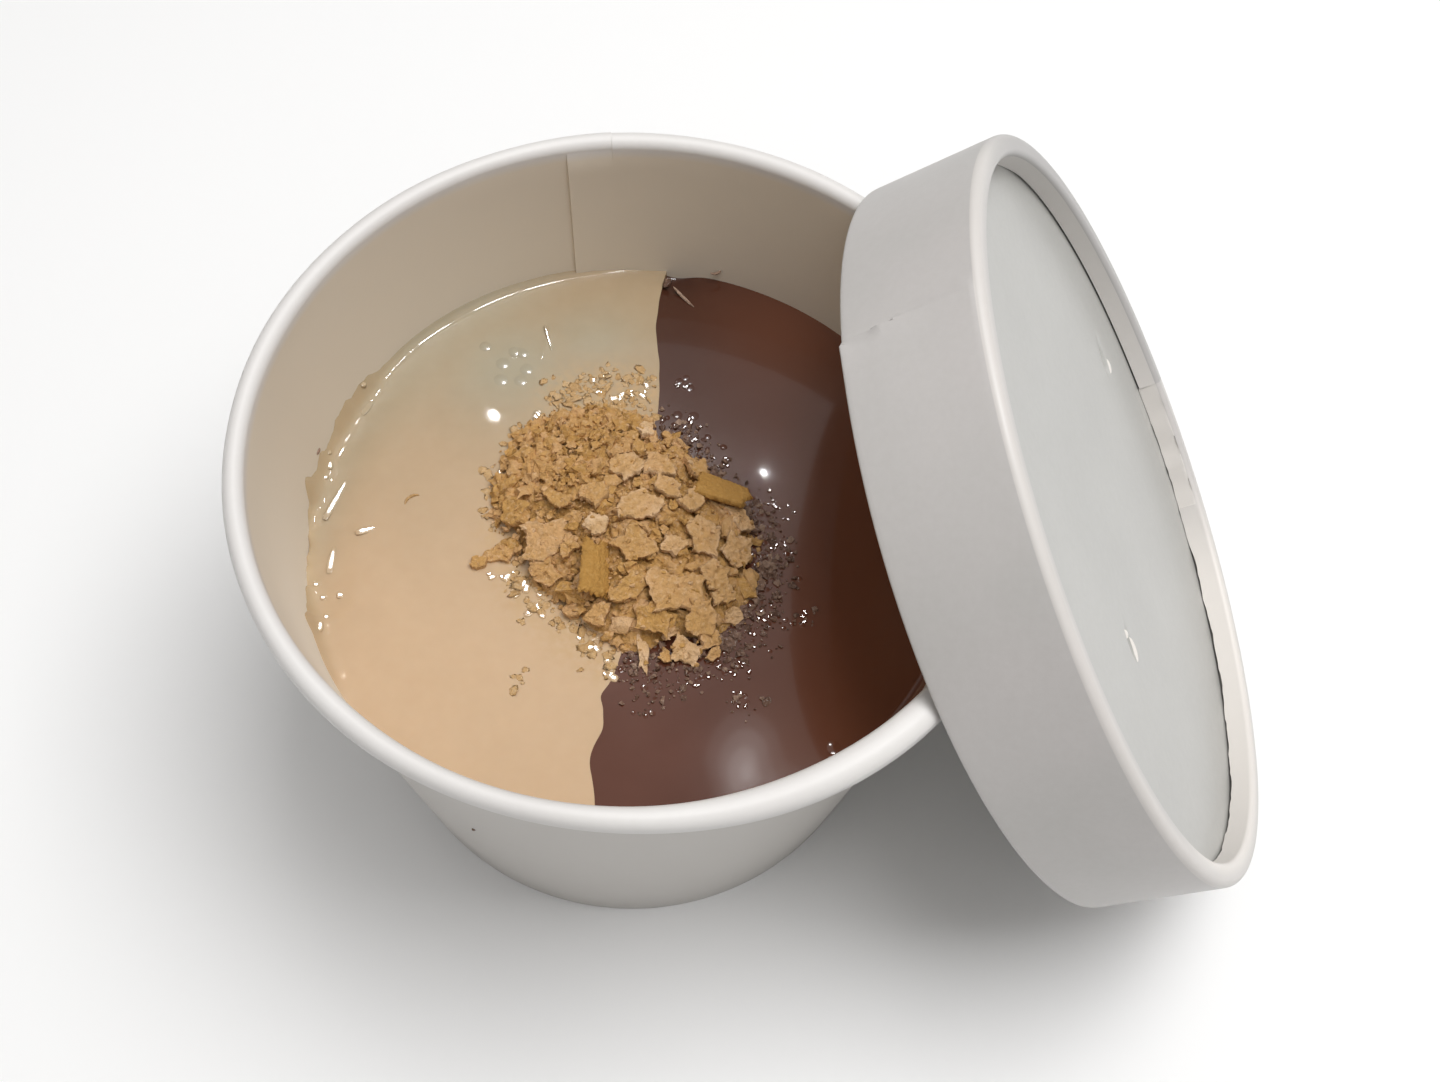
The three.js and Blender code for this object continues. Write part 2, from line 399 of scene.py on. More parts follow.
def makeCupWall(finish):
    profile, sidesOf = cupWallProfile()
    turn = anglesRound(cup["sides"], (cup["seamInside"], cup["seamOutside"]))[:, None]
    r, z = profile.T[:, None, :]
    degrees = np.degrees(turn)
    pastInner, pastOuter = degrees - cup["seamInside"], degrees - cup["seamOutside"]
    lapIn = np.where(pastInner < 0, np.exp(pastInner / cup["seamFade"]), 0) * cup["seamStep"]
    lapOut = np.where(pastOuter > 0, np.exp(-pastOuter / cup["seamFade"]), 0) * cup["seamStep"]
    radius = r + np.where(sidesOf > 0, sidesOf * lapOut, sidesOf * lapIn)
    uneven = 0.6 * np.sin(5 * turn + 1) + 0.4 * np.sin(11 * turn + 2.4)
    onRoll = np.hypot(r - rimMiddle[0], z - rimMiddle[1]) < cup["roll"] + 0.01
    swell = 1 + cup["rollUneven"] * uneven * onRoll
    radius = np.where(onRoll, rimMiddle[0] + (radius - rimMiddle[0]) * swell, radius)
    lean = cup["wobble"] * (0.6 * np.sin(2 * turn + 0.7) + 0.4 * np.sin(3 * turn + 2.1))
    radius = radius + lean * (z / rimMiddle[1]) ** 2
    height = z + np.where(onRoll, (z - rimMiddle[1]) * (swell - 1), 0)
    wide = cup["swellBy"] * band(degrees, cup["swellFrom"], cup["swellAt"], cup["swellAt"], cup["swellTo"])
    outer = np.where(onRoll, np.clip((r - rimMiddle[0]) / cup["roll"] + 1, 0, 2) / 2, 0)
    radius = radius + wide * outer
    height = height - 0.5 * wide * outer * (z < rimMiddle[1])
    points = turnedPoints(radius, turn, height)
    lit = band(degrees, *cup["lit"]) * (1 - cup["litLoss"] * smoothStep(*cup["litFade"], z))
    marks = {
        # the inner wall takes the painted shade and painted warm bounce of the inside colour
        "inside": np.broadcast_to(sidesOf < 0, points.shape[:2]).ravel(),
        # the outer wall takes the painted shade of the outside colour
        "outside": np.broadcast_to(sidesOf == 1, points.shape[:2]).ravel(),
        "bright": (lit * (sidesOf < 0)).ravel(),
    }
    faces = gridFaces(len(turn), len(profile), True, True)
    return makePiece("cupWall", points.reshape(-1, 3), faces, finish, 35, marks)


def makeCupFloor(finish):
    paper, low, bend = cup["paper"], cup["floor"], cup["floorBend"]

    def outer(z):
        return wallInner(z) - cup["fit"]

    profile = [(r, low) for r in np.linspace(0, outer(low) - paper - bend, 14)]
    profile += arcPoints((outer(low) - paper - bend, low - bend), bend, 90, 10, 5)
    profile += [(outer(z) - paper, z) for z in (4, 2, 1)]
    profile += [(outer(z), z) for z in (0.9, 3, 5)]
    profile += arcPoints((outer(low) - bend, low + paper - bend), bend, 10, 90, 5)
    profile += [(r, low + paper) for r in np.linspace(outer(low) - 2, 0, 14)]
    r, z = np.array(profile).T[:, None, :]
    points = turnedPoints(r, anglesRound(cup["floorSides"], ())[:, None], z)
    faces = gridFaces(cup["floorSides"], len(profile), True)
    return makePiece("cupFloor", points.reshape(-1, 3), faces, finish, 35)


cupPaper = paperFinish("cupPaper", cupPaperLook)
for maker, node in ((makeCupWall, "cup_wall"), (makeCupFloor, "cup_floor")):
    dress(maker(cupPaper), node, "cup_paper")
print("cup wall and floor made")


# Puddings

creamSlots = ("pudding_cream", "cream_pudding")  # node and material slot
chocolateSlots = ("pudding_chocolate", "chocolate_pudding")
pudding = {
    "rise": 1.1,  # how far the pudding climbs the paper
    "bottom": 7.0,
    "alongSteps": 260,
    "acrossSteps": 70,
    "nearDivide": [0, 0.12, 0.28, 0.5, 0.85, 1.4],  # close rows, by their distance
    "nearWall": [3.8, 3.2, 2.6, 2.1, 1.7, 1.35, 1.05, 0.82, 0.64, 0.5, 0.4, 0.32, 0.25, 0.2, 0.1, 0],
    "narrow": 7,  # where the pudding is narrower, the close rows draw together
    "swell": 0.007,
    "climb": [(0.72, 0.5), (0.28, 1.7)],  # share and reach of the steep and the gentle part
    "lowBack": (-10, 20),  # where the chocolate's climb grows low
    "lowBackBy": 0.9,
    "bury": 0.2,  # how far the pudding's edge reaches into the paper
    "follow": 0.4,  # how near the wall the edge follows its lean
}
divide = {"offset": -0.1, "slope": 0.15, "wave": 1.0, "wavelength": 33, "crest": 20}
divideLaps = [(-27.7, 1.7, 0.6), (-32.6, 2.2, -0.45), (-23.4, 1.3, -0.7)]  # y, width, height
slump = {  # where the cream has sunk and left a film
    "round": (132, 154, 191, 209),  # degrees round
    "depth": 1.3,
    "reach": 5.0,
    "film": 0.4,
    "filmReach": 1.5,
    "filmEnd": (203, 214),  # degrees
    "filmGap": (86, 10),  # degrees and width, at the back
    "ripple": 0.12,
    "rippleAt": (3.2, 1.6),  # from the wall, and width
}
filmLobes = [  # degrees, width, height
    (147, 3.2, 1.6), (153.5, 4.0, 2.0), (157.5, 1.6, 0.5), (164, 2.6, 1.2), (170, 1.9, 3.0),
    (180, 4.6, -2.2), (187, 3.0, -1.2), (196.5, 2.0, 2.2),
]
stains = [  # where crumbs have soaked into the cream: x, y, reach
    (-8.0, 21.5, 4.2), (-2.0, 22.6, 4.2), (2.2, 21.2, 2.6), (-13.0, -9.5, 3.6), (-8.5, -14.4, 3.8),
    (-4.5, -18.6, 3.0), (-15.6, -6.0, 3.0), (-18.0, 0.0, 2.6),
]
puddingShade = {"back": (-22, 40), "right": (6, 32), "alongEdge": (95, 120, 172, 200)}  # y, x, degrees
dimple = {"x": -16.5, "y": 27.1, "radius": 3.6, "depth": 0.1}
streak = {"x": -11.2, "y": 31.4, "length": 2.4, "width": 0.5, "height": 0.14, "lean": 0.23}
nick = {"x": 7.2, "y": 41.6, "radius": 2.6, "depth": 1.1}  # at the back, where the two puddings meet

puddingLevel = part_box("pudding_cream")[1].z / mm - pudding["rise"]
edgeRadius = wallInner(puddingLevel)


def divideAt(y):
    course = divide["wave"] * np.cos(tau * (y - divide["crest"]) / divide["wavelength"])
    fray = 0.07 * np.sin(tau * y / 9 + 1) + 0.03 * np.sin(tau * y / 4.3)
    lap = sum(height * hump(y, middle, width) for middle, width, height in divideLaps)
    return divide["offset"] + divide["slope"] * y + course + fray + lap


def divideEnd(sign):
    y = sign * edgeRadius
    for attempt in range(30):
        y = sign * math.sqrt((edgeRadius + pudding["bury"]) ** 2 - divideAt(y) ** 2)
    return y


def wallGap(x, y):
    return np.clip(edgeRadius - np.hypot(x, y), 0, None)


def sinking(x, y):
    return band(degreesRound(x, y), *slump["round"])


def creamRelief(x, y, rise, height):
    degrees, gap, sunk = degreesRound(x, y), wallGap(x, y), sinking(x, y)
    ragged = 0.22 * np.sin(degrees * 1.7) + 0.12 * np.sin(degrees * 2.9)
    rise = rise + (slump["film"] + ragged) * sunk
    thinner = 0.92 * smoothStep(*slump["filmEnd"], degrees) + 0.8 * hump(degrees, *slump["filmGap"])
    rise = rise * (1 - thinner)
    for middle, width, lobe in filmLobes:
        rise = rise + lobe * hump(degrees, middle, width)
    height = height - slump["depth"] * sunk * hump(gap, 0, slump["reach"])
    height = height + slump["ripple"] * sunk * np.sin(degrees * 0.55) * hump(gap, *slump["rippleAt"])
    height = height - dimple["depth"] * spot(x, y, dimple["x"], dimple["y"], dimple["radius"])
    off = x - streak["x"] - streak["lean"] * (y - streak["y"])
    line = hump(off, 0, streak["width"]) * hump(y, streak["y"], streak["length"])
    return rise, height + streak["height"] * line


def puddingHeight(x, y, side):
    gap = wallGap(x, y)
    rise = pudding["rise"] + 0.08 * np.sin(9 * np.arctan2(y, x) + 1.0)
    wave = np.sin(x / 5.3 + 1.2) * np.cos(y / 6.1) + 0.6 * np.sin((x + 1.3 * y) / 3.9)
    height = pudding["swell"] * wave
    if side < 0:
        rise, height = creamRelief(x, y, rise, height)
    else:
        rise = rise * (1 - pudding["lowBackBy"] * smoothStep(*pudding["lowBack"], y))
        height = height - nick["depth"] * spot(x, y, nick["x"], nick["y"], nick["radius"])
    climb = rise * sum(share * np.exp(-gap / reach) for share, reach in pudding["climb"])
    return puddingLevel + height + climb


def puddingSurface(side):
    ends = [divideEnd(sign) for sign in (1, -1)]
    along = np.linspace(0, 1, pudding["alongSteps"])
    lineY = ends[0] + (ends[1] - ends[0]) * along
    line = np.stack([divideAt(lineY), lineY], -1)
    start, stop = (math.atan2(y, divideAt(y)) for y in ends)
    if side < 0:
        stop += tau
    turn = start + (stop - start) * along
    reach = edgeRadius + pudding["bury"]
    wall = reach * np.stack([np.cos(turn), np.sin(turn)], -1)
    length = np.linalg.norm(wall - line, axis=1)[:, None] + 1e-9  # never quite nothing at the two ends
    scale = np.minimum(1, length / pudding["narrow"])
    nearDivide, nearWall = np.array(pudding["nearDivide"]) * scale, np.array(pudding["nearWall"]) * scale
    middle = np.linspace(0, 1, pudding["acrossSteps"])[None, 1:-1]
    first, last = nearDivide[:, -1:], length - nearWall[:, :1]
    across = np.concatenate([nearDivide, first + (last - first) * middle, length - nearWall], 1)
    share = (across / length)[..., None]
    flat = line[:, None] * (1 - share) + wall[:, None] * share
    return flat, puddingHeight(flat[..., 0], flat[..., 1], side)


def puddingMarks(x, y):
    degrees, gap = degreesRound(x, y), wallGap(x, y)
    atDimple = hump(np.hypot((x - dimple["x"]) * 0.85, y - dimple["y"]), 0, 8.5)
    atBack = 0.8 * hump(np.hypot((x + 5) * 0.7, y - 31), 0, 5.5)
    edgeReach = 4 + 5 * hump(degrees, 135, 28)
    alongEdge = 0.75 * band(degrees, *puddingShade["alongEdge"]) * hump(gap, 0, edgeReach)
    return {
        # back: painted shade, the puddings darker towards the back wall
        "back": smoothStep(*puddingShade["back"], y),
        # right: painted light, the chocolate lighter towards the right where the lid's shadow falls
        "right": smoothStep(*puddingShade["right"], x),
        "watery": np.maximum(np.maximum(atDimple, atBack), alongEdge),
        "film": sinking(x, y) * hump(gap, 0, slump["filmReach"]),
        "stain": spots(x, y, stains),
    }


def makePudding(name, side, finish):
    flat, height = puddingSurface(side)
    rows, columns = height.shape
    reach = np.linalg.norm(flat, axis=-1)
    near = np.exp(np.minimum(reach - edgeRadius, 0) / pudding["follow"])
    outward = 1 + cup["slope"] * (height - puddingLevel) * near / np.maximum(reach, 1)
    top = np.concatenate([flat * outward[..., None], height[..., None]], -1).reshape(-1, 3)
    taper = (wallInner(pudding["bottom"]) + 0.1) / (edgeRadius + pudding["bury"])
    low = np.concatenate([flat[:, [0, -1]] * taper, np.full((rows, 2, 1), pudding["bottom"])], -1)
    points = np.concatenate([top, low.reshape(-1, 3)])
    faces = gridFaces(rows, columns)

    def topAt(row, end):
        return row * columns + (columns - 1) * end

    def lowAt(row, end):
        return rows * columns + 2 * row + end

    for row in range(rows - 1):
        for end in (0, 1):
            faces.append([topAt(row, end), topAt(row + 1, end), lowAt(row + 1, end), lowAt(row, end)])
        faces.append([lowAt(row, 0), lowAt(row + 1, 0), lowAt(row + 1, 1), lowAt(row, 1)])
    return makePiece(name, points, faces, finish, 50, puddingMarks(points[:, 0], points[:, 1]), True)


creamLook = {
    "front": colour(0.548, 0.378, 0.232),
    # rearShade: painted shade of the cream towards the back wall
    "rearShade": colour(0.362, 0.268, 0.164),
    "watery": colour(0.35, 0.322, 0.237),
    "film": colour(0.51, 0.375, 0.228),
    "stain": colour(0.50, 0.33, 0.165),
    "gloss": 0.035,
}
chocolateLook = {
    "deep": colour(0.080, 0.0232, 0.0108),
    "light": colour(0.099, 0.0325, 0.0178),
    # right: painted light against the lid's shadow
    "right": colour(0.165, 0.058, 0.030),
    # rearShade: painted shade of the chocolate towards the back wall
    "rearShade": colour(0.053, 0.0185, 0.0105),
    "gloss": 0.12,
    "coat": 0.41,
}


def creamFinish(name, look):
    finish, tree, shader = newFinish(name)
    cloud = ranged(tree, grain(tree, 70, 2.0), -0.16, 0.16)
    # towards the back the cream takes its rearShade colour: painted shade
    back = maths(tree, "ADD", markOf(tree, "back"), cloud, True)
    tint = blended(tree, back, look["front"], look["rearShade"])
    for mark, most in (("watery", 0.8), ("film", 0.85)):
        tint = blended(tree, ranged(tree, markOf(tree, mark), 0.0, most), tint, look[mark])
    mush = ranged(tree, grain(tree, 900, 3.0), 0.0, 1.0, 0.3, 0.6)
    stain = maths(tree, "MULTIPLY", ranged(tree, markOf(tree, "stain"), 0.0, 0.75), mush)
    tint = blended(tree, stain, tint, look["stain"])
    fine = blended(tree, grain(tree, 420, 3.0), look["rearShade"], colour(1.0, 0.86, 0.66))
    feed(tree, shader, Base_Color=blended(tree, 0.06, tint, fine), Specular_IOR_Level=0.5,
         Roughness=glossOf(tree, 160, look["gloss"]),
         Normal=raised(tree, grain(tree, 140, 2.0), 0.02, 0.0006),
         Subsurface_Weight=0.12, Subsurface_Radius=(1.0, 0.55, 0.3), Subsurface_Scale=0.002)
    return finish


def chocolateFinish(name, look):
    finish, tree, shader = newFinish(name)
    cloud = ranged(tree, grain(tree, 60, 3.0), 0.0, 1.0, 0.35, 0.65)
    tint = blended(tree, cloud, look["deep"], look["light"])
    # towards the back the chocolate takes its rearShade colour: painted shade
    tint = blended(tree, markOf(tree, "back"), tint, look["rearShade"])
    # towards the right the chocolate is painted lighter: painted light against the lid's shadow
    tint = blended(tree, markOf(tree, "right"), tint, look["right"])
    fine = blended(tree, grain(tree, 900, 3.0), look["deep"], colour(0.11, 0.055, 0.035))
    feed(tree, shader, Base_Color=blended(tree, 0.10, tint, fine), Specular_IOR_Level=0.25,
         Roughness=glossOf(tree, 220, look["gloss"]),
         Normal=raised(tree, grain(tree, 150, 2.0), 0.02, 0.0005),
         Coat_Weight=look["coat"], Coat_Roughness=0.035)
    return finish


creamPudding = creamFinish("creamPudding", creamLook)
chocolatePudding = chocolateFinish("chocolatePudding", chocolateLook)
dress(makePudding("creamPudding", -1, creamPudding), *creamSlots)
dress(makePudding("chocolatePudding", 1, chocolatePudding), *chocolateSlots)
print("puddings poured")


# Biscuit heap

heapSlots = ("crumb_heap", "biscuit_crumb")
heap = {
    "x": -1.0,
    "y": 0.5,
    "radius": 17.3,
    "stretch": 3.1,
    "turn": -52,
    "height": 5.2,
    "blunt": 0.75,
    "rings": 110,
    "sides": 300,
    "sunk": 0.8,  # how far the core reaches into the pudding
}
heapPlates = {"size": 2.7, "seed": 0.37, "step": 0.8, "tilt": 0.5, "crack": 0.3}  # pressed into the heap
heapCrumbs = {"size": 1.15, "seed": 5.13, "step": 0.5, "tilt": 0.7, "crack": 0.14}
biscuitLook = {
    "dark": colour(0.37, 0.194, 0.060),
    "golden": colour(0.556, 0.312, 0.096),
    "tan": colour(0.645, 0.382, 0.172),
    "pale": colour(0.79, 0.553, 0.338),
    "rough": 0.62,
    "sheen": 0.3,
}


def heapOutline(angle):
    return heap["radius"] + heap["stretch"] * np.cos(2 * (angle - math.radians(heap["turn"])))


def heapRise(share):
    return heap["height"] * np.clip(1 - share ** 2, 0, None) ** heap["blunt"]


def heapShare(x, y):
    x, y = x - heap["x"], y - heap["y"]
    return np.hypot(x, y) / heapOutline(np.arctan2(y, x))


def coarseness(x, y):  # fine crumbs to the back left, large flakes in front
    return smoothStep(-14, 8, (x - heap["x"]) - 0.9 * (y - heap["y"]))


def biscuitFinish(name, look):
    finish, tree, shader = newFinish(name)
    ramp = addNode(tree, "ShaderNodeValToRGB", {"Fac": markOf(tree, "tone")})
    stops = ramp.color_ramp.elements
    stops[0].color, stops[1].color = look["dark"], look["pale"]
    for place, tint in ((0.3, look["golden"]), (0.65, look["tan"])):
        stops.new(place).color = tint
    bake = ranged(tree, grain(tree, 330, 3.0), 0.0, 0.5, 0.42, 0.62)
    tint = blended(tree, bake, ramp.outputs[0], look["golden"])
    crust = ranged(tree, grain(tree, 1100, 4.0, Roughness=0.65), 0.42, 0.0, 0.36, 0.52)
    tint = blended(tree, crust, tint, look["dark"])
    flour = ranged(tree, grain(tree, 1700, 3.0, Roughness=0.6), 0.0, 0.4, 0.52, 0.68)
    tint = blended(tree, flour, tint, look["pale"])
    crumb = grain(tree, 1500, 4.0, Roughness=0.7)
    rough = ranged(tree, crumb, look["rough"] - 0.08, look["rough"] + 0.12)
    feed(tree, shader, Base_Color=tint, Roughness=rough, Normal=raised(tree, crumb, 0.9, 0.0007),
         Specular_IOR_Level=look["sheen"])
    return finish


def lumpy(x, y, size, seed):
    return np.array([noise.noise(Vector((a / size, b / size, seed))) for a, b in zip(x, y)])


def chanceAt(point):
    return (math.sin(point.x * 12.99 + point.y * 78.23 + point.z * 37.7) * 43758.5) % 1


def brokenRelief(x, y, size, seed, step, tilt, crack):
    height, tone = [], []
    for a, b in zip(x, y):
        place = Vector((a / size, b / size, seed))
        away, cells = noise.voronoi(place)
        off = (place - cells[0]) * size
        level, leanX, leanY = (chanceAt(cells[0] * turn) - 0.5 for turn in (1.0, 1.7, 2.3))
        dip = math.exp(-(away[1] - away[0]) / 0.07)
        height.append(step * level + tilt * (leanX * off.x + leanY * off.y) - crack * dip)
        # the tone is partly random and partly painted shade, darker along the cracks
        tone.append(level - 0.6 * dip)
    return np.array(height), np.array(tone)


def makeHeapCore(finish):
    rings, sides = heap["rings"], heap["sides"]
    share = np.linspace(0, 1, rings)[:, None]
    turn = np.linspace(0, tau, sides, endpoint=False)[None]
    ragged = 0.95 + 0.05 * np.sin(7 * turn + 0.6) + 0.03 * np.sin(13 * turn + 2)
    reach = share * heapOutline(turn) * ragged
    x, y = heap["x"] + reach * np.cos(turn), heap["y"] + reach * np.sin(turn)
    places = x.ravel(), y.ravel()
    plates, plateTone = brokenRelief(*places, **heapPlates)
    crumbs, crumbTone = brokenRelief(*places, **heapCrumbs)
    fine = 0.28 * lumpy(*places, 0.55, 3.3) + 0.16 * lumpy(*places, 0.27, 8.1)
    lumps = ((0.45 + 0.55 * coarseness(*places)) * plates + crumbs + fine).reshape(x.shape)
    z = puddingLevel + 0.93 * heapRise(share) + lumps * (1 - share ** 6) - 0.5 * share ** 8
    top = np.stack([x, y, z], -1)
    bottom = puddingLevel - heap["sunk"]
    low = np.concatenate([top[-1, :, :2], np.full((sides, 1), bottom)], -1)
    points = np.concatenate([top.reshape(-1, 3), low, [[heap["x"], heap["y"], bottom]]])
    faces = flipped(gridFaces(rings, sides, False, True))
    last, base = (rings - 1) * sides, rings * sides
    for side in range(sides):
        after = (side + 1) % sides
        faces.append([last + side, last + after, base + after, base + side])
        faces.append([base + side, base + after, base + sides])
    tone = 0.46 + 0.25 * plateTone + 0.2 * crumbTone + 0.5 * fine
    tone = np.clip(np.concatenate([tone, np.full(sides + 1, 0.2)]), 0, 1)
    return makePiece("heapCore", points, faces, finish, 60, {"tone": tone}, True)


def brokenOutline(rng, sides, halvings, ragged):
    turn = np.sort((np.arange(sides) + rng.uniform(-0.3, 0.3, sides)) * tau / sides)
    outline = rng.uniform(0.84, 1.12, (sides, 1)) * np.stack([np.cos(turn), np.sin(turn)], -1)
    for halving in range(halvings):  # the middle of every break line wanders off
        after = np.roll(outline, -1, axis=0)
        away = (after - outline)[:, ::-1] * [1, -1] * rng.uniform(-ragged, ragged, (len(outline), 1))
        away = away * (0.6 if halving == 0 else 1.0)
        outline = np.stack([outline, (outline + after) / 2 + away], 1).reshape(-1, 2)
    return outline


def brokenPlate(rng, length, width, thickness, sides, body, rib=0.0):
    outline = brokenOutline(rng, sides, body["halvings"], body["ragged"]) * np.array([length, width])
    corners = len(outline)
    turn = np.arctan2(outline[:, 1], outline[:, 0])
    layers = [(share, 0.5) for share in np.linspace(0.25, 0.94, body["rings"])]
    layers += [(1.0, 0.3), (0.98, -0.3), (0.92, -0.5)]
    points = [np.array([[0, 0, thickness * 0.5]])]
    for share, height in layers:
        ring = np.concatenate([outline * share, np.full((corners, 1), thickness * height)], -1)
        ring[:, 2] += rib * np.sin(9 * turn) * share
        points.append(ring)
    points.append(np.array([[0, 0, -thickness * 0.5]]))
    points = np.concatenate(points)
    seed = rng.uniform(0, 90)
    for size, strength in ((body["lump"], 1.0), (body["lump"] * 0.42, 0.55)):
        rough = body["rough"] * strength
        points[:, 2] += rough * lumpy(points[:, 0], points[:, 1], size, seed)
        points[:, 0] += rough * 0.6 * lumpy(points[:, 1], points[:, 2], size, seed + 7)
    points[:, 2] += rng.uniform(-0.06, 0.06) * points[:, 0] ** 2 / max(length, 1)
    rim = np.concatenate([[0], np.repeat([share ** 8 for share, height in layers], corners), [0]])
    return points, cappedFaces(len(layers), corners), rim


def settle(points, x, y, z, turn, tipX, tipY):
    spin = Matrix.Rotation(math.radians(tipX), 3, "X") @ Matrix.Rotation(math.radians(tipY), 3, "Y")
    spin = spin @ Matrix.Rotation(math.radians(turn), 3, "Z")
    return points @ np.array(spin).T + np.array([x, y, z])


# the large flakes: x, y, length, width, turn, tip about X and Y, tone, rib
largeFlakes = [
    (-12.0, -2.7, 8.2, 5.4, 5, 12, -8, 0.64, 0.0),
    (5.1, -10.6, 8.4, 7.2, 35, 12, 10, 0.56, 0.0),
    (-0.3, -4.8, 6.8, 4.6, -8, 18, 2, 0.50, 0.0),
    (9.0, -3.7, 4.9, 6.6, 20, 8, 14, 0.66, 0.0),
    # the flakes at (13.0, -4.6), (14.0, 0.4) and (10.2, -8.6) are given paler tones: painted light where
    # the lid's shadow falls
    (13.0, -4.6, 5.2, 4.8, 40, 10, 20, 0.70, 0.0),
    (14.0, 0.4, 4.8, 3.2, -25, -4, 22, 0.72, 0.0),
    (-1.0, 7.1, 4.8, 4.6, 60, -10, -6, 0.72, 0.0),
    (3.7, 7.2, 5.0, 4.2, -30, -14, 8, 0.66, 0.0),
    (0.7, 0.5, 6.2, 4.8, 15, -3, 5, 0.72, 0.0),
    (2.2, -14.6, 5.6, 5.4, 70, 22, 0, 0.32, 0.0),
    (8.0, -14.0, 5.6, 5.2, -40, 20, 14, 0.52, 0.0),
    (0.8, -18.2, 6.4, 1.9, 100, 14, -6, 0.94, 0.0),
    (6.2, -17.7, 4.8, 4.2, -70, 24, 4, 0.84, 0.09),
    (-0.8, -10.4, 6.0, 3.4, 25, 20, 4, 0.36, 0.0),
    (-15.6, 2.0, 4.6, 4.2, 30, 4, -24, 0.22, 0.0),
    (-11.4, -6.9, 4.8, 3.4, -12, 24, -14, 0.54, 0.0),
    (-9.7, 2.6, 4.4, 2.8, -35, -2, -12, 0.40, 0.0),
    (-5.2, 2.8, 4.6, 3.6, 50, -4, -6, 0.60, 0.0),
    (7.4, 2.1, 4.2, 3.8, 75, -6, 12, 0.72, 0.0),
    (10.2, -8.6, 4.2, 4.4, 10, 12, 18, 0.68, 0.0),
    (11.2, -11.5, 3.8, 3.8, 55, 18, 20, 0.70, 0.0),
    (4.6, 3.8, 4.4, 3.6, -60, -8, 8, 0.66, 0.0),
    (-4.6, -13.4, 4.2, 3.2, 30, 22, -8, 0.5, 0.0),
    (8.8, 8.2, 4.4, 3.4, -50, -14, 16, 0.50, 0.0),
    (5.0, -4.9, 3.8, 3.2, 15, 8, 8, 0.74, 0.0),
    (-8.2, -4.4, 3.4, 2.6, 60, 14, -10, 0.50, 0.0),
    (-17.9, -3.1, 4.2, 3.0, 10, 4, -6, 0.46, 0.0),
    (-20.3, -4.2, 2.6, 1.8, 35, 2, -4, 0.38, 0.0),
    (-5.0, -1.8, 3.2, 2.9, 20, 6, -4, 1.0, 0.0),
    (2.1, 14.0, 2.7, 2.4, 40, -12, 6, 1.0, 0.0),
    (9.0, -16.5, 3.4, 2.6, 20, 18, 14, 0.62, 0.0),
    (3.4, -18.3, 2.4, 1.7, -30, 16, 0, 0.46, 0.0),
    (9.5, -18.4, 2.6, 1.5, 50, 14, 10, 0.56, 0.0),
]
flakeBody = {
    "seed": 11,
    "thick": 0.9,
    "sides": (4, 5),
    "halvings": 4,
    "ragged": 0.22,
    "rings": 8,
    "rough": 0.30,
    "lump": 0.95,
    "lift": 0.62,
    "grown": 0.55,  # half of each flake's length and width, with an overlap
    "edgeTone": 0.22,
    "crusted": 0.55,  # share of the tops that crumbs may lie on
}


def flakeSurface():
    rng = np.random.default_rng(flakeBody["seed"])
    grown, rings = flakeBody["grown"], flakeBody["rings"]
    bodies, tones, tops = [], [], []
    for x, y, length, width, turn, tipX, tipY, tone, rib in largeFlakes:
        thick = flakeBody["thick"] * rng.uniform(0.8, 1.25)
        sides = rng.integers(*flakeBody["sides"], endpoint=True)
        points, faces, rim = brokenPlate(rng, length * grown, width * grown, thick, sides, flakeBody, rib)
        share = heapShare(x, y)
        lift = flakeBody["lift"] * (1 - 0.5 * smoothStep(0.95, 1.05, share))
        z = puddingLevel + heapRise(min(share, 1)) + lift
        bodies.append((settle(points, x, y, z, turn, tipX, tipY), faces))
        tones.append(np.clip(tone + flakeBody["edgeTone"] * rim, 0, 1))
        tops.append(np.arange(len(points)) < len(points) * rings / (rings + 3))
    return *joined(bodies), np.concatenate(tones), np.concatenate(tops)


# the two mustard wafer shards
waferShards = [
    {"place": (-5.2, -7.6, 51.4), "length": 7.8, "width": 4.2, "turn": 86, "tipX": 8, "tipY": 34,
     "ridges": 5, "bow": 0.9, "notch": 1.1},
    {"place": (11.6, 3.9, 50.4), "length": 6.8, "width": 4.0, "turn": -18, "tipX": -16, "tipY": 10,
     "ridges": 4, "bow": 0.3, "notch": -0.9},
]
waferBody = {"thick": 0.9, "ridge": 0.018, "alongSteps": 26, "acrossSteps": 25, "seed": 5, "tone": 0.3}


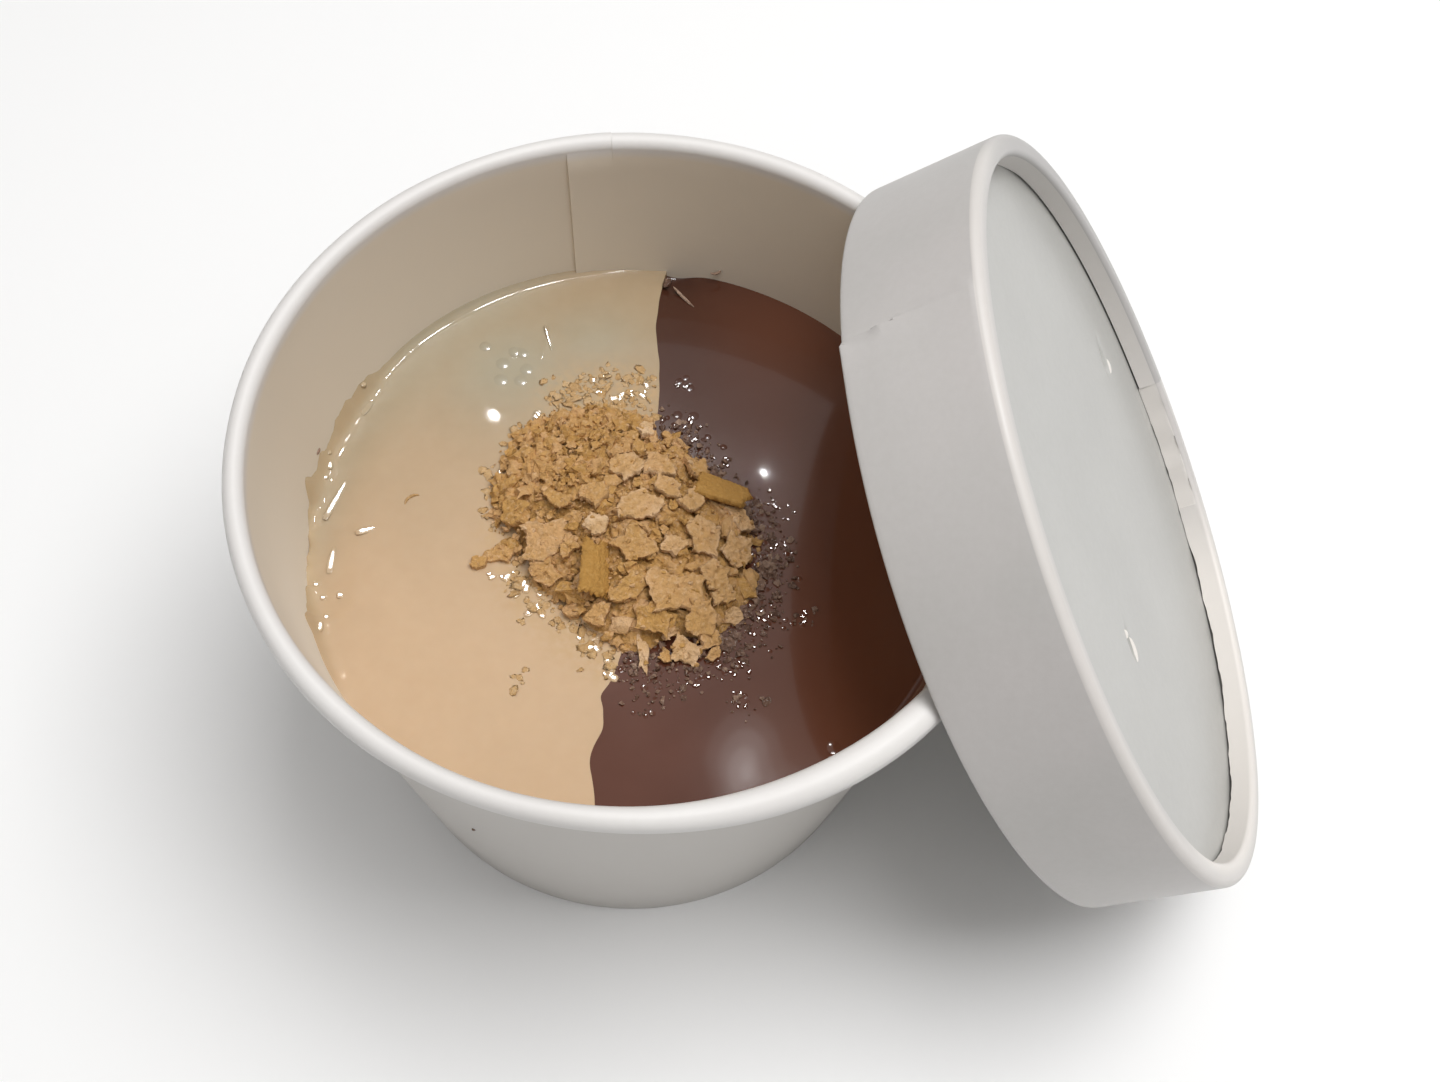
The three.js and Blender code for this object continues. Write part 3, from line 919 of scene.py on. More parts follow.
def makeWaferShards(finish):
    rng = np.random.default_rng(waferBody["seed"])
    rows, columns = waferBody["alongSteps"], waferBody["acrossSteps"]
    u, v = np.meshgrid(np.linspace(-0.5, 0.5, rows), np.linspace(-0.5, 0.5, columns), indexing="ij")
    edge = np.minimum(0.5 - np.abs(u), 0.5 - np.abs(v))
    swell = waferBody["thick"] / 2 * np.clip(edge / 0.05, 0, 1) ** 0.5
    tips = (0, columns - 1, (rows - 1) * columns, rows * columns - 1)  # each plate's corners are clipped
    faces = [[corner for corner in face if corner not in tips] for face in gridFaces(rows, columns)]
    bodies = []
    for shard in waferShards:
        tear = rng.uniform(-0.07, 0.07, columns)
        chip = rng.uniform(-0.05, 0.05, rows)
        x = u * shard["length"] * (1 + np.where(u > 0, tear, tear[::-1]) * np.abs(u) * 2)
        x = x - shard["notch"] * np.clip(u / 0.5, 0, 1) * hump(v, 0.08, 0.17)
        y = v * shard["width"] * (1 + chip[:, None] * np.abs(v) * 2) * (1 - 0.22 * u)
        bow = shard["bow"] * (0.25 - v ** 2) * 2
        ridge = waferBody["ridge"] * np.cos(tau * shard["ridges"] * v) * np.clip(edge / 0.06, 0, 1)
        for sign in (1, -1):
            points = np.stack([x, y, bow + sign * swell + ridge], -1).reshape(-1, 3)
            points = settle(points, *shard["place"], shard["turn"], shard["tipX"], shard["tipY"])
            bodies.append((points, [face[::sign] for face in faces]))
    points, faces = joined(bodies)
    tone = np.full(len(points), waferBody["tone"])
    return makePiece("waferShards", points, faces, finish, 45, {"tone": tone}, True)


biscuit = biscuitFinish("biscuit", biscuitLook)
waferFinish = biscuitFinish("waferBiscuit", {
    **biscuitLook,
    "dark": colour(0.40, 0.205, 0.050),
    "golden": colour(0.50, 0.265, 0.066),
    "pale": colour(0.62, 0.37, 0.12),
    "rough": 0.5,
})
flakePoints, flakeFaces, flakeTones, flakeTops = flakeSurface()
dress(makeHeapCore(biscuit), *heapSlots)
flakes = makePiece("biscuitFlakes", flakePoints, flakeFaces, biscuit, 38, {"tone": flakeTones}, True)
dress(flakes, *heapSlots)
dress(makeWaferShards(waferFinish), *heapSlots)
print("heap core, large flakes and wafer shards made")


# Scattered crumbs, by Geometry Nodes

scatterInputs = {
    "Surface": "Geometry", "Shapes": "Collection", "Finish": "Material", "Spacing": "Float",
    "Density": "Float", "Smallest": "Float", "Largest": "Float", "Bias": "Float", "Tip": "Float",
    "Lift": "Float", "Darkest": "Float", "Palest": "Float", "Seed": "Int",
}


def scatterTree():
    tree = bpy.data.node_groups.new("crumbScatter", "GeometryNodeTree")
    for label, kind in scatterInputs.items():
        tree.interface.new_socket(name=label, in_out="INPUT", socket_type="NodeSocket" + kind)
    tree.interface.new_socket(name="Crumbs", in_out="OUTPUT", socket_type="NodeSocketGeometry")
    given = addNode(tree, "NodeGroupInput").outputs

    def marked(name):
        node = addNode(tree, "GeometryNodeInputNamedAttribute", {"Name": name}, data_type="FLOAT")
        return openSocket(node.outputs, "Attribute")

    def scaled(vector, factor):
        node = addNode(tree, "ShaderNodeVectorMath", {"Scale": factor}, operation="SCALE")
        tree.links.new(vector, node.inputs[0])
        return node.outputs[0]

    def chance(low, high, offset, kind="FLOAT"):
        values = {"Min": low, "Max": high, "Seed": maths(tree, "ADD", given["Seed"], offset)}
        node = addNode(tree, "FunctionNodeRandomValue", values, data_type=kind)
        return openSocket(node.outputs, "Value")

    def turnedBy(rotation, euler):
        turn = addNode(tree, "FunctionNodeEulerToRotation", {"Euler": euler}).outputs[0]
        values = {"Rotation": rotation, "Rotate By": turn}
        return addNode(tree, "FunctionNodeRotateRotation", values, rotation_space="LOCAL").outputs[0]

    spread = addNode(tree, "GeometryNodeDistributePointsOnFaces", {
        "Mesh": given["Surface"], "Distance Min": given["Spacing"], "Density Max": given["Density"],
        "Density Factor": marked("cover"), "Seed": given["Seed"]}, distribute_method="POISSON")
    lifted = scaled(spread.outputs["Normal"], given["Lift"])
    placed = addNode(tree, "GeometryNodeSetPosition", {
        "Geometry": spread.outputs["Points"], "Offset": lifted})
    share = maths(tree, "POWER", chance(0.0, 1.0, 1), given["Bias"])
    size = ranged(tree, share, given["Smallest"], given["Largest"])
    size = maths(tree, "MULTIPLY", size, marked("coarse"))
    tipped = scaled(chance((-1.0, -1.0, -1.0), (1.0, 1.0, 1.0), 2, "FLOAT_VECTOR"), given["Tip"])
    spun = addNode(tree, "ShaderNodeCombineXYZ", {"Z": chance(0.0, tau, 3)}).outputs[0]
    turned = turnedBy(turnedBy(spread.outputs["Rotation"], tipped), spun)
    shapes = addNode(tree, "GeometryNodeCollectionInfo", {
        "Collection": given["Shapes"], "Separate Children": True, "Reset Children": True})
    laid = addNode(tree, "GeometryNodeInstanceOnPoints", {
        "Points": placed.outputs[0], "Instance": shapes.outputs[0], "Pick Instance": True,
        "Instance Index": chance(0, 1000, 4, "INT"), "Rotation": turned, "Scale": size})
    tone = chance(given["Darkest"], given["Palest"], 5)
    toned = addNode(tree, "GeometryNodeStoreNamedAttribute", {
        "Geometry": laid.outputs[0], "Name": "tone", "Value": tone}, data_type="FLOAT", domain="INSTANCE")
    real = addNode(tree, "GeometryNodeRealizeInstances", {"Geometry": toned.outputs[0]})
    finished = addNode(tree, "GeometryNodeSetMaterial", {
        "Geometry": real.outputs[0], "Material": given["Finish"]})
    addNode(tree, "NodeGroupOutput", {"Crumbs": finished.outputs[0]})
    return tree


def shapeCollection(name, shapes, smooth=False):
    group = bpy.data.collections.new(name)
    scene.collection.children.link(group)
    for number, (points, faces) in enumerate(shapes):
        mesh = bpy.data.meshes.new(f"{name}{number}")
        mesh.from_pydata((np.array(points) * mm).tolist(), [], faces)
        if smooth:
            mesh.shade_smooth()
        else:
            mesh.shade_flat()
        group.objects.link(bpy.data.objects.new(f"{name}{number}", mesh))
    return group


def shapeOf(body):
    body.verts.index_update()
    points = np.array([corner.co[:] for corner in body.verts])
    faces = [[corner.index for corner in face.verts] for face in body.faces]
    body.free()
    return points, faces


def crumbChip(rng, flatness, corners):
    points = rng.normal(size=(corners, 3))
    points *= rng.uniform(0.42, 0.56, (corners, 1)) / np.linalg.norm(points, axis=1, keepdims=True)
    points *= np.array([1, rng.uniform(0.7, 0.95), flatness])
    chip = bmesh.new()
    for point in points:
        chip.verts.new(point)
    within = bmesh.ops.convex_hull(chip, input=chip.verts)["geom_interior"]
    within = [corner for corner in within if isinstance(corner, bmesh.types.BMVert)]
    bmesh.ops.delete(chip, geom=within, context="VERTS")
    return shapeOf(chip)


def crumbLump(rng, flatness):
    lump = bmesh.new()
    bmesh.ops.create_icosphere(lump, subdivisions=2, radius=0.5)
    shift, stretch = Vector(rng.uniform(0, 50, 3)), rng.uniform(0.7, 1.0)
    for corner in lump.verts:
        grown = 1 + 0.8 * noise.noise(corner.co * 2.9 + shift) + 0.55 * noise.noise(corner.co * 6.7 + shift)
        x, y, z = corner.co * grown
        corner.co = Vector((x, y * stretch, z * flatness))
    return shapeOf(lump)


def beadCap(across, height, rings, sides):
    turn = np.linspace(0, tau, sides, endpoint=False)
    points = [np.array([[0, 0, height]])]
    shares = np.append(np.linspace(0, 1, rings + 1)[1:], 1.15)  # the last ring reaches below the surface
    for share in shares:
        points.append(turnedPoints(across / 2 * share, turn, height * (1 - share ** 2)))
    points.append(np.array([[0, 0, -height]]))
    return np.concatenate(points), cappedFaces(len(shares), sides)


def scatter(name, surface, settings, shapes, finish, slots):
    points, faces, marks = surface
    bed = makePiece(name, points, faces, finish, 180, marks)
    sown = bed.modifiers.new("scatter", "NODES")
    sown.node_group = crumbTree
    values = {"Shapes": shapes, "Finish": finish, **settings}
    for socket in crumbTree.interface.items_tree:
        if socket.in_out == "INPUT" and socket.name in values:
            sown[socket.identifier] = values[socket.name]
    evaluated = bed.evaluated_get(bpy.context.evaluated_depsgraph_get())
    mesh = bpy.data.meshes.new_from_object(evaluated)
    bed.modifiers.remove(sown)
    old, bed.data = bed.data, mesh
    mesh.name = name
    bpy.data.meshes.remove(old)
    dress(bed, *slots)
    print(name, len(mesh.polygons), "faces")


heapGrid = {"rings": 26, "sides": 72, "inner": 0.001}
puddingGrid = {
    "across": 70,
    "along": 110,
    "out": 43,
    "over": 8,  # how far it reaches past the cup's axis
    "reach": 42,
    "fromWall": 0.8,
    "fromDivide": 0.3,
}


def heapBed(lift, coverOf, coarseOf, outTo=1.0):
    share = np.linspace(heapGrid["inner"], outTo, heapGrid["rings"])[:, None]
    turn = np.linspace(0, tau, heapGrid["sides"], endpoint=False)[None]
    points = turnedPoints(share * heapOutline(turn), turn, puddingLevel + heapRise(share) + lift)
    points = points.reshape(-1, 3) + np.array([heap["x"], heap["y"], 0])
    faces = flipped(gridFaces(heapGrid["rings"], heapGrid["sides"], False, True))
    x, y = points[:, 0], points[:, 1]
    return points, faces, {"cover": coverOf(x, y), "coarse": coarseOf(x, y)}


def puddingBed(side, coverOf):
    ends = sorted((-side * puddingGrid["over"], side * puddingGrid["out"]))
    across = np.linspace(*ends, puddingGrid["across"])
    along = np.linspace(-puddingGrid["reach"], puddingGrid["reach"], puddingGrid["along"])
    x, y = np.meshgrid(across, along, indexing="ij")
    points = np.stack([x, y, puddingHeight(x, y, side)], -1).reshape(-1, 3)
    x, y = points[:, 0], points[:, 1]
    inside = np.hypot(x, y) < edgeRadius - puddingGrid["fromWall"]
    inside &= (x - divideAt(y)) * side > puddingGrid["fromDivide"]
    marks = {"cover": np.where(inside, coverOf(x, y), 0), "coarse": even(x, y), **puddingMarks(x, y)}
    return points, gridFaces(puddingGrid["across"], puddingGrid["along"]), marks


def openHeap(x, y):
    covered = np.zeros_like(x)
    for flakeX, flakeY, length, width, turn, *rest in largeFlakes:
        along, across = alongAcross(x - flakeX, y - flakeY, turn)
        covered = np.maximum(covered, spot(along / length, across / width, 0, 0, 0.5))
    return 1 - covered


def even(x, y):
    return np.ones_like(x)


def heapTurn(x, y):
    return np.degrees(np.arctan2(y - heap["y"], x - heap["x"]))


def plateSize(x, y):
    return 0.65 + 0.35 * coarseness(x, y)


def plateCover(x, y):
    return openHeap(x, y) * (0.05 + 0.95 * coarseness(x, y))


def lumpCover(x, y):
    return openHeap(x, y) * (1 - 0.8 * coarseness(x, y))


def chipCover(x, y):
    return openHeap(x, y) * (0.9 - 0.4 * coarseness(x, y))


def grainCover(x, y):
    return 0.75 - 0.35 * coarseness(x, y)


wetSides = [(-8, 38), (-58, 26), (-84, 20), (50, 18)]  # degrees round the heap, width
wetStrays = [  # x, y, reach
    (20.2, -13.9, 1.1), (22.4, -13.4, 1.1), (13.0, -24.9, 1.3), (15.0, -25.2, 1.0), (1.5, -24.5, 2.0),
]
wetLumpSides = [(-20, 45), (45, 22)]
dampPlaces = [  # x, y, reach
    (-9.8, 21.8, 1.7), (-7.4, 22.4, 1.6), (-5.6, 24.4, 1.4), (-3.4, 24.2, 1.5), (1.4, 24.2, 1.5),
    (-1.5, 20.6, 2.0), (2.4, 20.4, 1.3), (-15.6, -7.6, 1.1), (-12.6, -10.4, 1.0), (-9.4, -13.4, 0.9),
    (-6.2, -16.6, 1.6), (-3.4, -19.2, 1.4), (-14.9, -20.8, 0.9), (-14.9, -12.6, 0.8),
]


def towards(turn, sides):
    return np.max([hump(turn, middle, width) for middle, width in sides], axis=0)


def wetCover(x, y):
    halo = band(heapShare(x, y), 0.84, 0.94, 1.06, 1.36)
    side = towards(heapTurn(x, y), wetSides)
    return np.clip(halo * (0.15 + 0.85 * side) + 0.8 * spots(x, y, wetStrays), 0, 1)


def wetLumpCover(x, y):
    halo = band(heapShare(x, y), 0.86, 0.94, 1.0, 1.14)
    return 0.8 * halo * towards(heapTurn(x, y), wetLumpSides)


def dampCover(x, y):
    halo = band(heapShare(x, y), 0.86, 0.96, 1.0, 1.2)
    return np.clip(0.25 * halo + spots(x, y, dampPlaces), 0, 1)


def beadCover(x, y):
    return 0.5 * wetCover(x, y)


# spacing and lift in metres, density to a square metre, sizes in millimetres, tip in radians
plateScatter = {
    "Spacing": 0.0015, "Density": 400000.0, "Smallest": 1.6, "Largest": 4.2, "Bias": 1.6,
    "Tip": 0.5, "Lift": 0.0002, "Darkest": 0.25, "Palest": 0.85, "Seed": 4,
}
lumpScatter = {
    "Spacing": 0.00095, "Density": 1200000.0, "Smallest": 1.15, "Largest": 2.9, "Bias": 1.5,
    "Tip": 0.6, "Lift": -0.0001, "Darkest": 0.2, "Palest": 0.7, "Seed": 7,
}
chipScatter = {
    "Spacing": 0.0008, "Density": 1200000.0, "Smallest": 0.5, "Largest": 1.6, "Bias": 1.5,
    "Tip": 0.9, "Lift": 0.0, "Darkest": 0.2, "Palest": 0.85, "Seed": 9,
}
crustScatter = {
    "Spacing": 0.0007, "Density": 1500000.0, "Smallest": 0.3, "Largest": 1.1, "Bias": 1.6,
    "Tip": 0.8, "Lift": 0.0, "Darkest": 0.3, "Palest": 0.95, "Seed": 41,
}
grainScatter = {
    "Spacing": 0.0005, "Density": 2500000.0, "Smallest": 0.2, "Largest": 0.6, "Bias": 1.2,
    "Tip": 1.0, "Lift": 0.0, "Darkest": 0.2, "Palest": 0.95, "Seed": 14,
}
wetScatter = {
    "Spacing": 0.00045, "Density": 4500000.0, "Smallest": 0.35, "Largest": 1.5, "Bias": 2.0,
    "Tip": 0.8, "Lift": 0.0001, "Darkest": 0.0, "Palest": 0.9, "Seed": 21,
}
wetLumpScatter = {
    "Spacing": 0.0009, "Density": 1500000.0, "Smallest": 0.7, "Largest": 2.0, "Bias": 1.5,
    "Tip": 0.5, "Lift": 0.0001, "Darkest": 0.2, "Palest": 1.0, "Seed": 52,
}
dampScatter = {
    "Spacing": 0.0005, "Density": 4500000.0, "Smallest": 0.5, "Largest": 1.8, "Bias": 1.5,
    "Tip": 0.35, "Lift": 0.0, "Darkest": 0.1, "Palest": 0.75, "Seed": 27,
}
beadScatter = {
    "Spacing": 0.0006, "Density": 2400000.0, "Smallest": 0.3, "Largest": 0.95, "Bias": 1.3,
    "Tip": 0.05, "Lift": 0.00001, "Darkest": 0.0, "Palest": 1.0, "Seed": 33,
}

wetLook = {
    "dark": colour(0.096, 0.048, 0.032),
    "golden": colour(0.180, 0.103, 0.072),
    "tan": colour(0.282, 0.174, 0.125),
    "pale": colour(0.504, 0.348, 0.252),
    "rough": 0.2,
    "sheen": 0.6,
}
dampLook = {
    "dark": colour(0.52, 0.312, 0.13),
    "golden": colour(0.60, 0.375, 0.165),
    "tan": colour(0.64, 0.43, 0.22),
    "pale": colour(0.71, 0.52, 0.315),
    "rough": 0.2,
    "sheen": 0.6,
}

creamDrops = creamFinish("creamDrops", {**creamLook, "gloss": 0.13})
chocolateDrops = chocolateFinish("chocolateDrops", {**chocolateLook, "gloss": 0.13, "coat": 0.0})
wetBiscuit = biscuitFinish("wetBiscuit", wetLook)
dampBiscuit = biscuitFinish("dampBiscuit", dampLook)

# the few shapes that the crumbs repeat, each about a millimetre across
shapeRng = np.random.default_rng(23)
plateBody = {"halvings": 1, "rings": 1, "rough": 0.09, "lump": 0.3, "ragged": 0.17}


def plateShape(number):
    width, thickness = shapeRng.uniform(0.32, 0.46), shapeRng.uniform(0.16, 0.28)
    return brokenPlate(shapeRng, 0.5, width, thickness, 4 + number % 3, plateBody)[:2]


def lumpShape(low, high):
    return crumbLump(shapeRng, shapeRng.uniform(low, high))


plateShapes = shapeCollection("plateShape", [plateShape(number) for number in range(9)])
lumpShapes = shapeCollection("lumpShape", [lumpShape(0.45, 0.75) for number in range(9)])
dampShapes = shapeCollection("dampShape", [crumbLump(shapeRng, 0.2) for number in range(6)], True)
chipShapes = shapeCollection("chipShape", [
    crumbChip(shapeRng, shapeRng.uniform(0.5, 0.85), 12) for number in range(8)])
grainShapes = shapeCollection("grainShape", [crumbChip(shapeRng, 0.8, 8) for number in range(5)])
beadShapes = shapeCollection("beadShape", [
    beadCap(1.0, height, 3, 10) for height in (0.02, 0.03, 0.045)], True)

crumbTree = scatterTree()
flakeMarks = {"cover": flakeBody["crusted"] * flakeTops, "coarse": np.ones(len(flakeTops))}
flakeBed = (flakePoints, flakeFaces, flakeMarks)
for name, bed, settings, shapes, finish in (
    ("biscuitPlates", heapBed(0.1, plateCover, plateSize), plateScatter, plateShapes, biscuit),
    ("biscuitLumps", heapBed(-0.1, lumpCover, even), lumpScatter, lumpShapes, biscuit),
    ("biscuitChips", heapBed(0.0, chipCover, even), chipScatter, chipShapes, biscuit),
    ("flakeCrumbs", flakeBed, crustScatter, chipShapes, biscuit),
    ("biscuitGrains", heapBed(0.2, grainCover, even, 1.05), grainScatter, grainShapes, biscuit),
    ("wetCrumbs", puddingBed(1, wetCover), wetScatter, chipShapes, wetBiscuit),
    ("wetLumps", puddingBed(1, wetLumpCover), wetLumpScatter, lumpShapes, wetBiscuit),
    ("dampCrumbs", puddingBed(-1, dampCover), dampScatter, dampShapes, dampBiscuit),
):
    scatter(name, bed, settings, shapes, finish, heapSlots)
scatter("chocolateBeads", puddingBed(1, beadCover), beadScatter, beadShapes, chocolateDrops, chocolateSlots)
for group in (plateShapes, lumpShapes, dampShapes, chipShapes, grainShapes, beadShapes):
    for shape in list(group.objects):
        bpy.data.objects.remove(shape)
    bpy.data.collections.remove(group)
print("crumbs scattered")


# Bubbles, ripples and flecks

creamBubbles = [  # x, y, across, steepness
    (-20.0, 30.3, 1.4, 0.025), (-17.6, 27.4, 1.7, 0.025), (-17.8, 24.6, 1.7, 0.025),
    (-15.9, 29.4, 1.5, 0.025), (-14.8, 29.1, 1.4, 0.025), (-14.2, 26.3, 1.6, 0.025),
    (-15.0, 24.4, 1.6, 0.025),
]
chocolateBubbles = [
    (7.0, 23.7, 1.1, 0.025), (8.4, 22.6, 1.1, 0.025), (7.9, 24.3, 0.9, 0.025), (6.5, 18.2, 1.2, 0.025),
    (8.7, 18.0, 1.3, 0.025), (7.6, 16.6, 1.0, 0.025), (24.1, -31.4, 1.6, 0.035),
]
bubbleBody = {"rings": 6, "sides": 20, "lift": 0.02}


def wetPiece(name, bodies, finish):
    points, faces = joined(bodies)
    return makePiece(name, points, faces, finish, 60, puddingMarks(points[:, 0], points[:, 1]), True)


def makeBubbles(name, bubbles, side, finish):
    bodies = []
    for x, y, across, steepness in bubbles:
        points, faces = beadCap(across, across * steepness, bubbleBody["rings"], bubbleBody["sides"])
        bodies.append((points + [x, y, puddingHeight(x, y, side) + bubbleBody["lift"]], faces))
    return wetPiece(name, bodies, finish)


# wet ripples where the cream has sunk and along its back edge: x, y, length, width, turn
creamRipples = [
    (-39.4, 6.6, 7.0, 1.0, 67), (-35.0, 1.4, 3.2, 1.0, 19), (-39.5, -2.7, 4.0, 1.1, 84),
    (-38.1, -7.9, 1.0, 1.0, 0), (-40.7, 13.5, 0.75, 0.75, 0), (-40.5, 11.7, 1.3, 0.8, 90),
    (-41.0, 9.9, 0.75, 0.75, 0), (-35.9, 20.9, 2.9, 0.9, 56), (-36.3, 23.2, 0.75, 0.75, 0),
    (-41.4, -6.0, 0.75, 0.75, 0), (-40.4, -8.0, 0.75, 0.75, 0), (-39.7, -11.0, 0.75, 0.75, 0),
    (-40.3, -12.6, 1.6, 0.8, 85), (-11.2, 31.4, 4.4, 0.42, -77),
]
creamGlints = [  # small wet spots gather beside the heap: x, y, reach
    (-17.0, -6.0, 1.4), (-14.4, -8.6, 1.8), (-11.9, -11.2, 1.6), (-6.4, -15.6, 1.5), (-4.0, -20.0, 1.2),
    (-4.2, 22.8, 1.7), (-0.6, 21.6, 1.8), (2.4, 22.0, 1.3), (-12.6, 18.4, 1.0), (-17.4, 8.8, 0.8),
]
chocolateGlints = [
    (7.7, 23.0, 0.9), (8.1, 16.4, 1.4), (9.4, 13.9, 1.2), (12.0, 10.9, 1.2), (18.3, 4.2, 1.2),
    (20.2, 1.9, 1.4), (19.2, -2.6, 1.5), (16.8, -6.3, 1.3), (21.8, -13.0, 1.0), (16.6, -13.6, 1.4),
    (14.5, -16.4, 1.4), (13.6, -20.6, 1.6), (10.4, -20.7, 1.6), (6.5, -21.9, 1.3), (12.7, -24.7, 1.5),
]
rippleBody = {
    "alongSteps": 25,
    "acrossSteps": 15,
    "height": 0.012,
    "lift": 0.12,
    "root": 0.9,
    "bowl": (0.00155, 0.00119),  # all ripples lie in one shallow bowl
    "glintSeed": 3,
    "glintsAtEach": 5,
    "creamAcross": (0.5, 1.1),
    "chocolateAcross": (0.3, 0.62),
}


def rippleTop(x, y):
    alongX, alongY = rippleBody["bowl"]
    return alongX * x ** 2 + alongY * y ** 2


def gathered(places, sizes):
    rng = np.random.default_rng(rippleBody["glintSeed"])
    glints = []
    for x, y, reach in places:
        for number in range(rippleBody["glintsAtEach"]):
            across = rng.uniform(*sizes)
            place = rng.normal((x, y), 0.55 * reach)
            glints.append((*place, across * rng.uniform(1, 1.7), across, rng.uniform(0, 180)))
    return glints


def makeRipples(name, ripples, side, finish):
    rows, columns = rippleBody["alongSteps"], rippleBody["acrossSteps"]
    u, v = np.meshgrid(np.linspace(-1, 1, rows), np.linspace(-1, 1, columns), indexing="ij")
    swell = (1 - u ** 4) * (1 - v ** 2)
    brink = (1 - u ** 10) * (1 - v ** 8)
    taper = np.sqrt(1 - 0.8 * u ** 2) * (1 - 0.25 * u)
    faces = gridFaces(rows, columns)
    bodies = []
    for middleX, middleY, length, width, turn in ripples:
        x, y = alongAcross(u * length / 2, v * width / 2 * taper, -turn)
        x, y = middleX + x, middleY + y
        level = puddingHeight(middleX, middleY, side) + rippleTop(x, y) - rippleTop(middleX, middleY)
        upper = level + rippleBody["lift"] * brink + rippleBody["height"] * width ** 2 * swell
        lower = level - rippleBody["root"] * swell
        for skin, sides in ((upper, faces), (lower, flipped(faces))):
            bodies.append((np.stack([x, y, skin], -1).reshape(-1, 3), sides))
    return wetPiece(name, bodies, finish)


# small flecks on the paper and the puddings: place, length, width, turn, bend, tone, node and slot
flecks = [
    ((12.7, 41.45, 48.7), 2.2, 0.4, 20, 140, 0.85, ("cup_wall", "cup_paper")),
    ((-41.75, 12.2, 48.9), 1.1, 0.5, 70, 20, 0.75, ("cup_wall", "cup_paper")),
    ((-21.45, -36.0, 34.3), 0.6, 0.5, 10, 10, 0.6, ("cup_wall", "cup_paper")),
    ((-29.3, 5.6, 46.75), 2.6, 0.45, 40, -100, 0.0, creamSlots),
    ((8.0, 38.4, 46.75), 4.6, 0.5, -53, 10, 1.0, chocolateSlots),
    ((5.7, 40.6, 47.0), 1.8, 1.2, 60, 30, 0.1, chocolateSlots),
]
curl = {"steps": 13, "sides": 8, "pointed": 1.96, "thinnest": 0.02}


def curlBody(place, length, width, turn, bend):
    steps, sides = curl["steps"], curl["sides"]
    along = np.linspace(-0.5, 0.5, steps)
    heading = np.radians(turn + bend * along)
    step = length / (steps - 1) * np.stack([np.cos(heading), np.sin(heading)], -1)
    line = np.cumsum(step, 0) - np.sum(step, 0) / 2
    around = np.linspace(0, tau, sides, endpoint=False)
    thick = width / 2 * np.sqrt(np.clip(1 - (curl["pointed"] * along) ** 2, curl["thinnest"], 1))[:, None]
    sideways = thick * np.cos(around)
    x = line[:, :1] - sideways * np.sin(heading)[:, None]
    y = line[:, 1:] + sideways * np.cos(heading)[:, None]
    points = np.stack([x, y, thick * np.sin(around)], -1).reshape(-1, 3) + np.array(place)
    first, last = list(range(sides)), list(range((steps - 1) * sides, steps * sides))
    return points, gridFaces(steps, sides, False, True) + [first, last[::-1]]


creamRipples += gathered(creamGlints, rippleBody["creamAcross"])
chocolateRipples = gathered(chocolateGlints, rippleBody["chocolateAcross"])
dress(makeBubbles("creamBubbles", creamBubbles, -1, creamDrops), *creamSlots)
dress(makeBubbles("chocolateBubbles", chocolateBubbles, 1, chocolatePudding), *chocolateSlots)
dress(makeRipples("creamRipples", creamRipples, -1, creamDrops), *creamSlots)
dress(makeRipples("chocolateGlints", chocolateRipples, 1, chocolateDrops), *chocolateSlots)
for number, (place, length, width, turn, bend, tone, slots) in enumerate(flecks):
    points, faces = curlBody(place, length, width, turn, bend)
    crumb = dampBiscuit if slots == creamSlots else wetBiscuit
    marks = {"tone": np.full(len(points), tone)}
    dress(makePiece(f"fleck{number}", points, faces, crumb, 60, marks, True), *slots)
print("bubbles, ripples and flecks made")


# Lid, measured along its own axis from the mouth

lid = {
    "lean": 32.4,  # its axis above the table
    "foot": 77.735,  # where its mouth stands on the table
    "height": 17.9,
    "mouth": 50.2,
    "mouthEdge": 0.3,
    "crown": 50.9,  # outer radius of the closed edge
    "edgeRoll": 1.0,
    "lip": 0.7,
    "hemRadius": 47.9,
    "paper": 0.6,
    "hemPaper": 0.45,
    "hemClear": 0.05,  # between the hem and the disc
    "sides": 300,
    "seam": 4.0,  # degrees from the top of the leaning lid towards the back
    "seamSlant": 0.10,
    "seamStep": 0.4,
    "seamFade": 12,
    "flare": 0.55,  # the loose corner of the seam at the mouth
    "hemEnd": 131.0,
    "hemStart": 155.0,
    "gapFrom": (62.0, 71.0),
    "gapDepth": 0.22,
    "wavy": (161.0, 165.0, 242.0, 250.0),
    "crinkleAt": 146,
    "crinkleWidth": 9,
    "crinkle": 0.17,
    "farFrom": (30, 60),  # degrees, where the far side begins, with the fold painted darker as painted shade and the hem painted paler as painted light
    "creamyLit": (142, 172, 262, 285),  # degrees, where hem and lip are painted pale and creamy: painted light where they face the lamp
    # how much paler the near side of the edge roll and the far hem are painted: painted highlight and
    # painted light
    "edgeTone": 0.42,
    "bareTone": 0.25,
}
lidDisc = {
    "height": 14.35,
    "radius": 49.6,
    "paper": 0.55,
    "dish": 1.0,
    "flange": 1.9,
    "sides": 420,
    "fineTo": 40,  # close rings out to here, for the dents
    "fineRings": 130,
    "outerRings": 26,
    "underRings": 24,
}
lidPaperLook = {
    "light": colour(0.605, 0.572, 0.557),
    "shade": colour(0.543, 0.528, 0.507),
    # pale cream: the bare paper of the torn hem and slivers, and painted light where the hem and edge roll
    # catch the lamp
    "inside": colour(0.82, 0.778, 0.735),
    # fold: painted shade, the far side's lip and edge roll painted grey
    "fold": colour(0.49, 0.475, 0.465),
    "satin": 0.40,
    "sheen": 0.45,
}
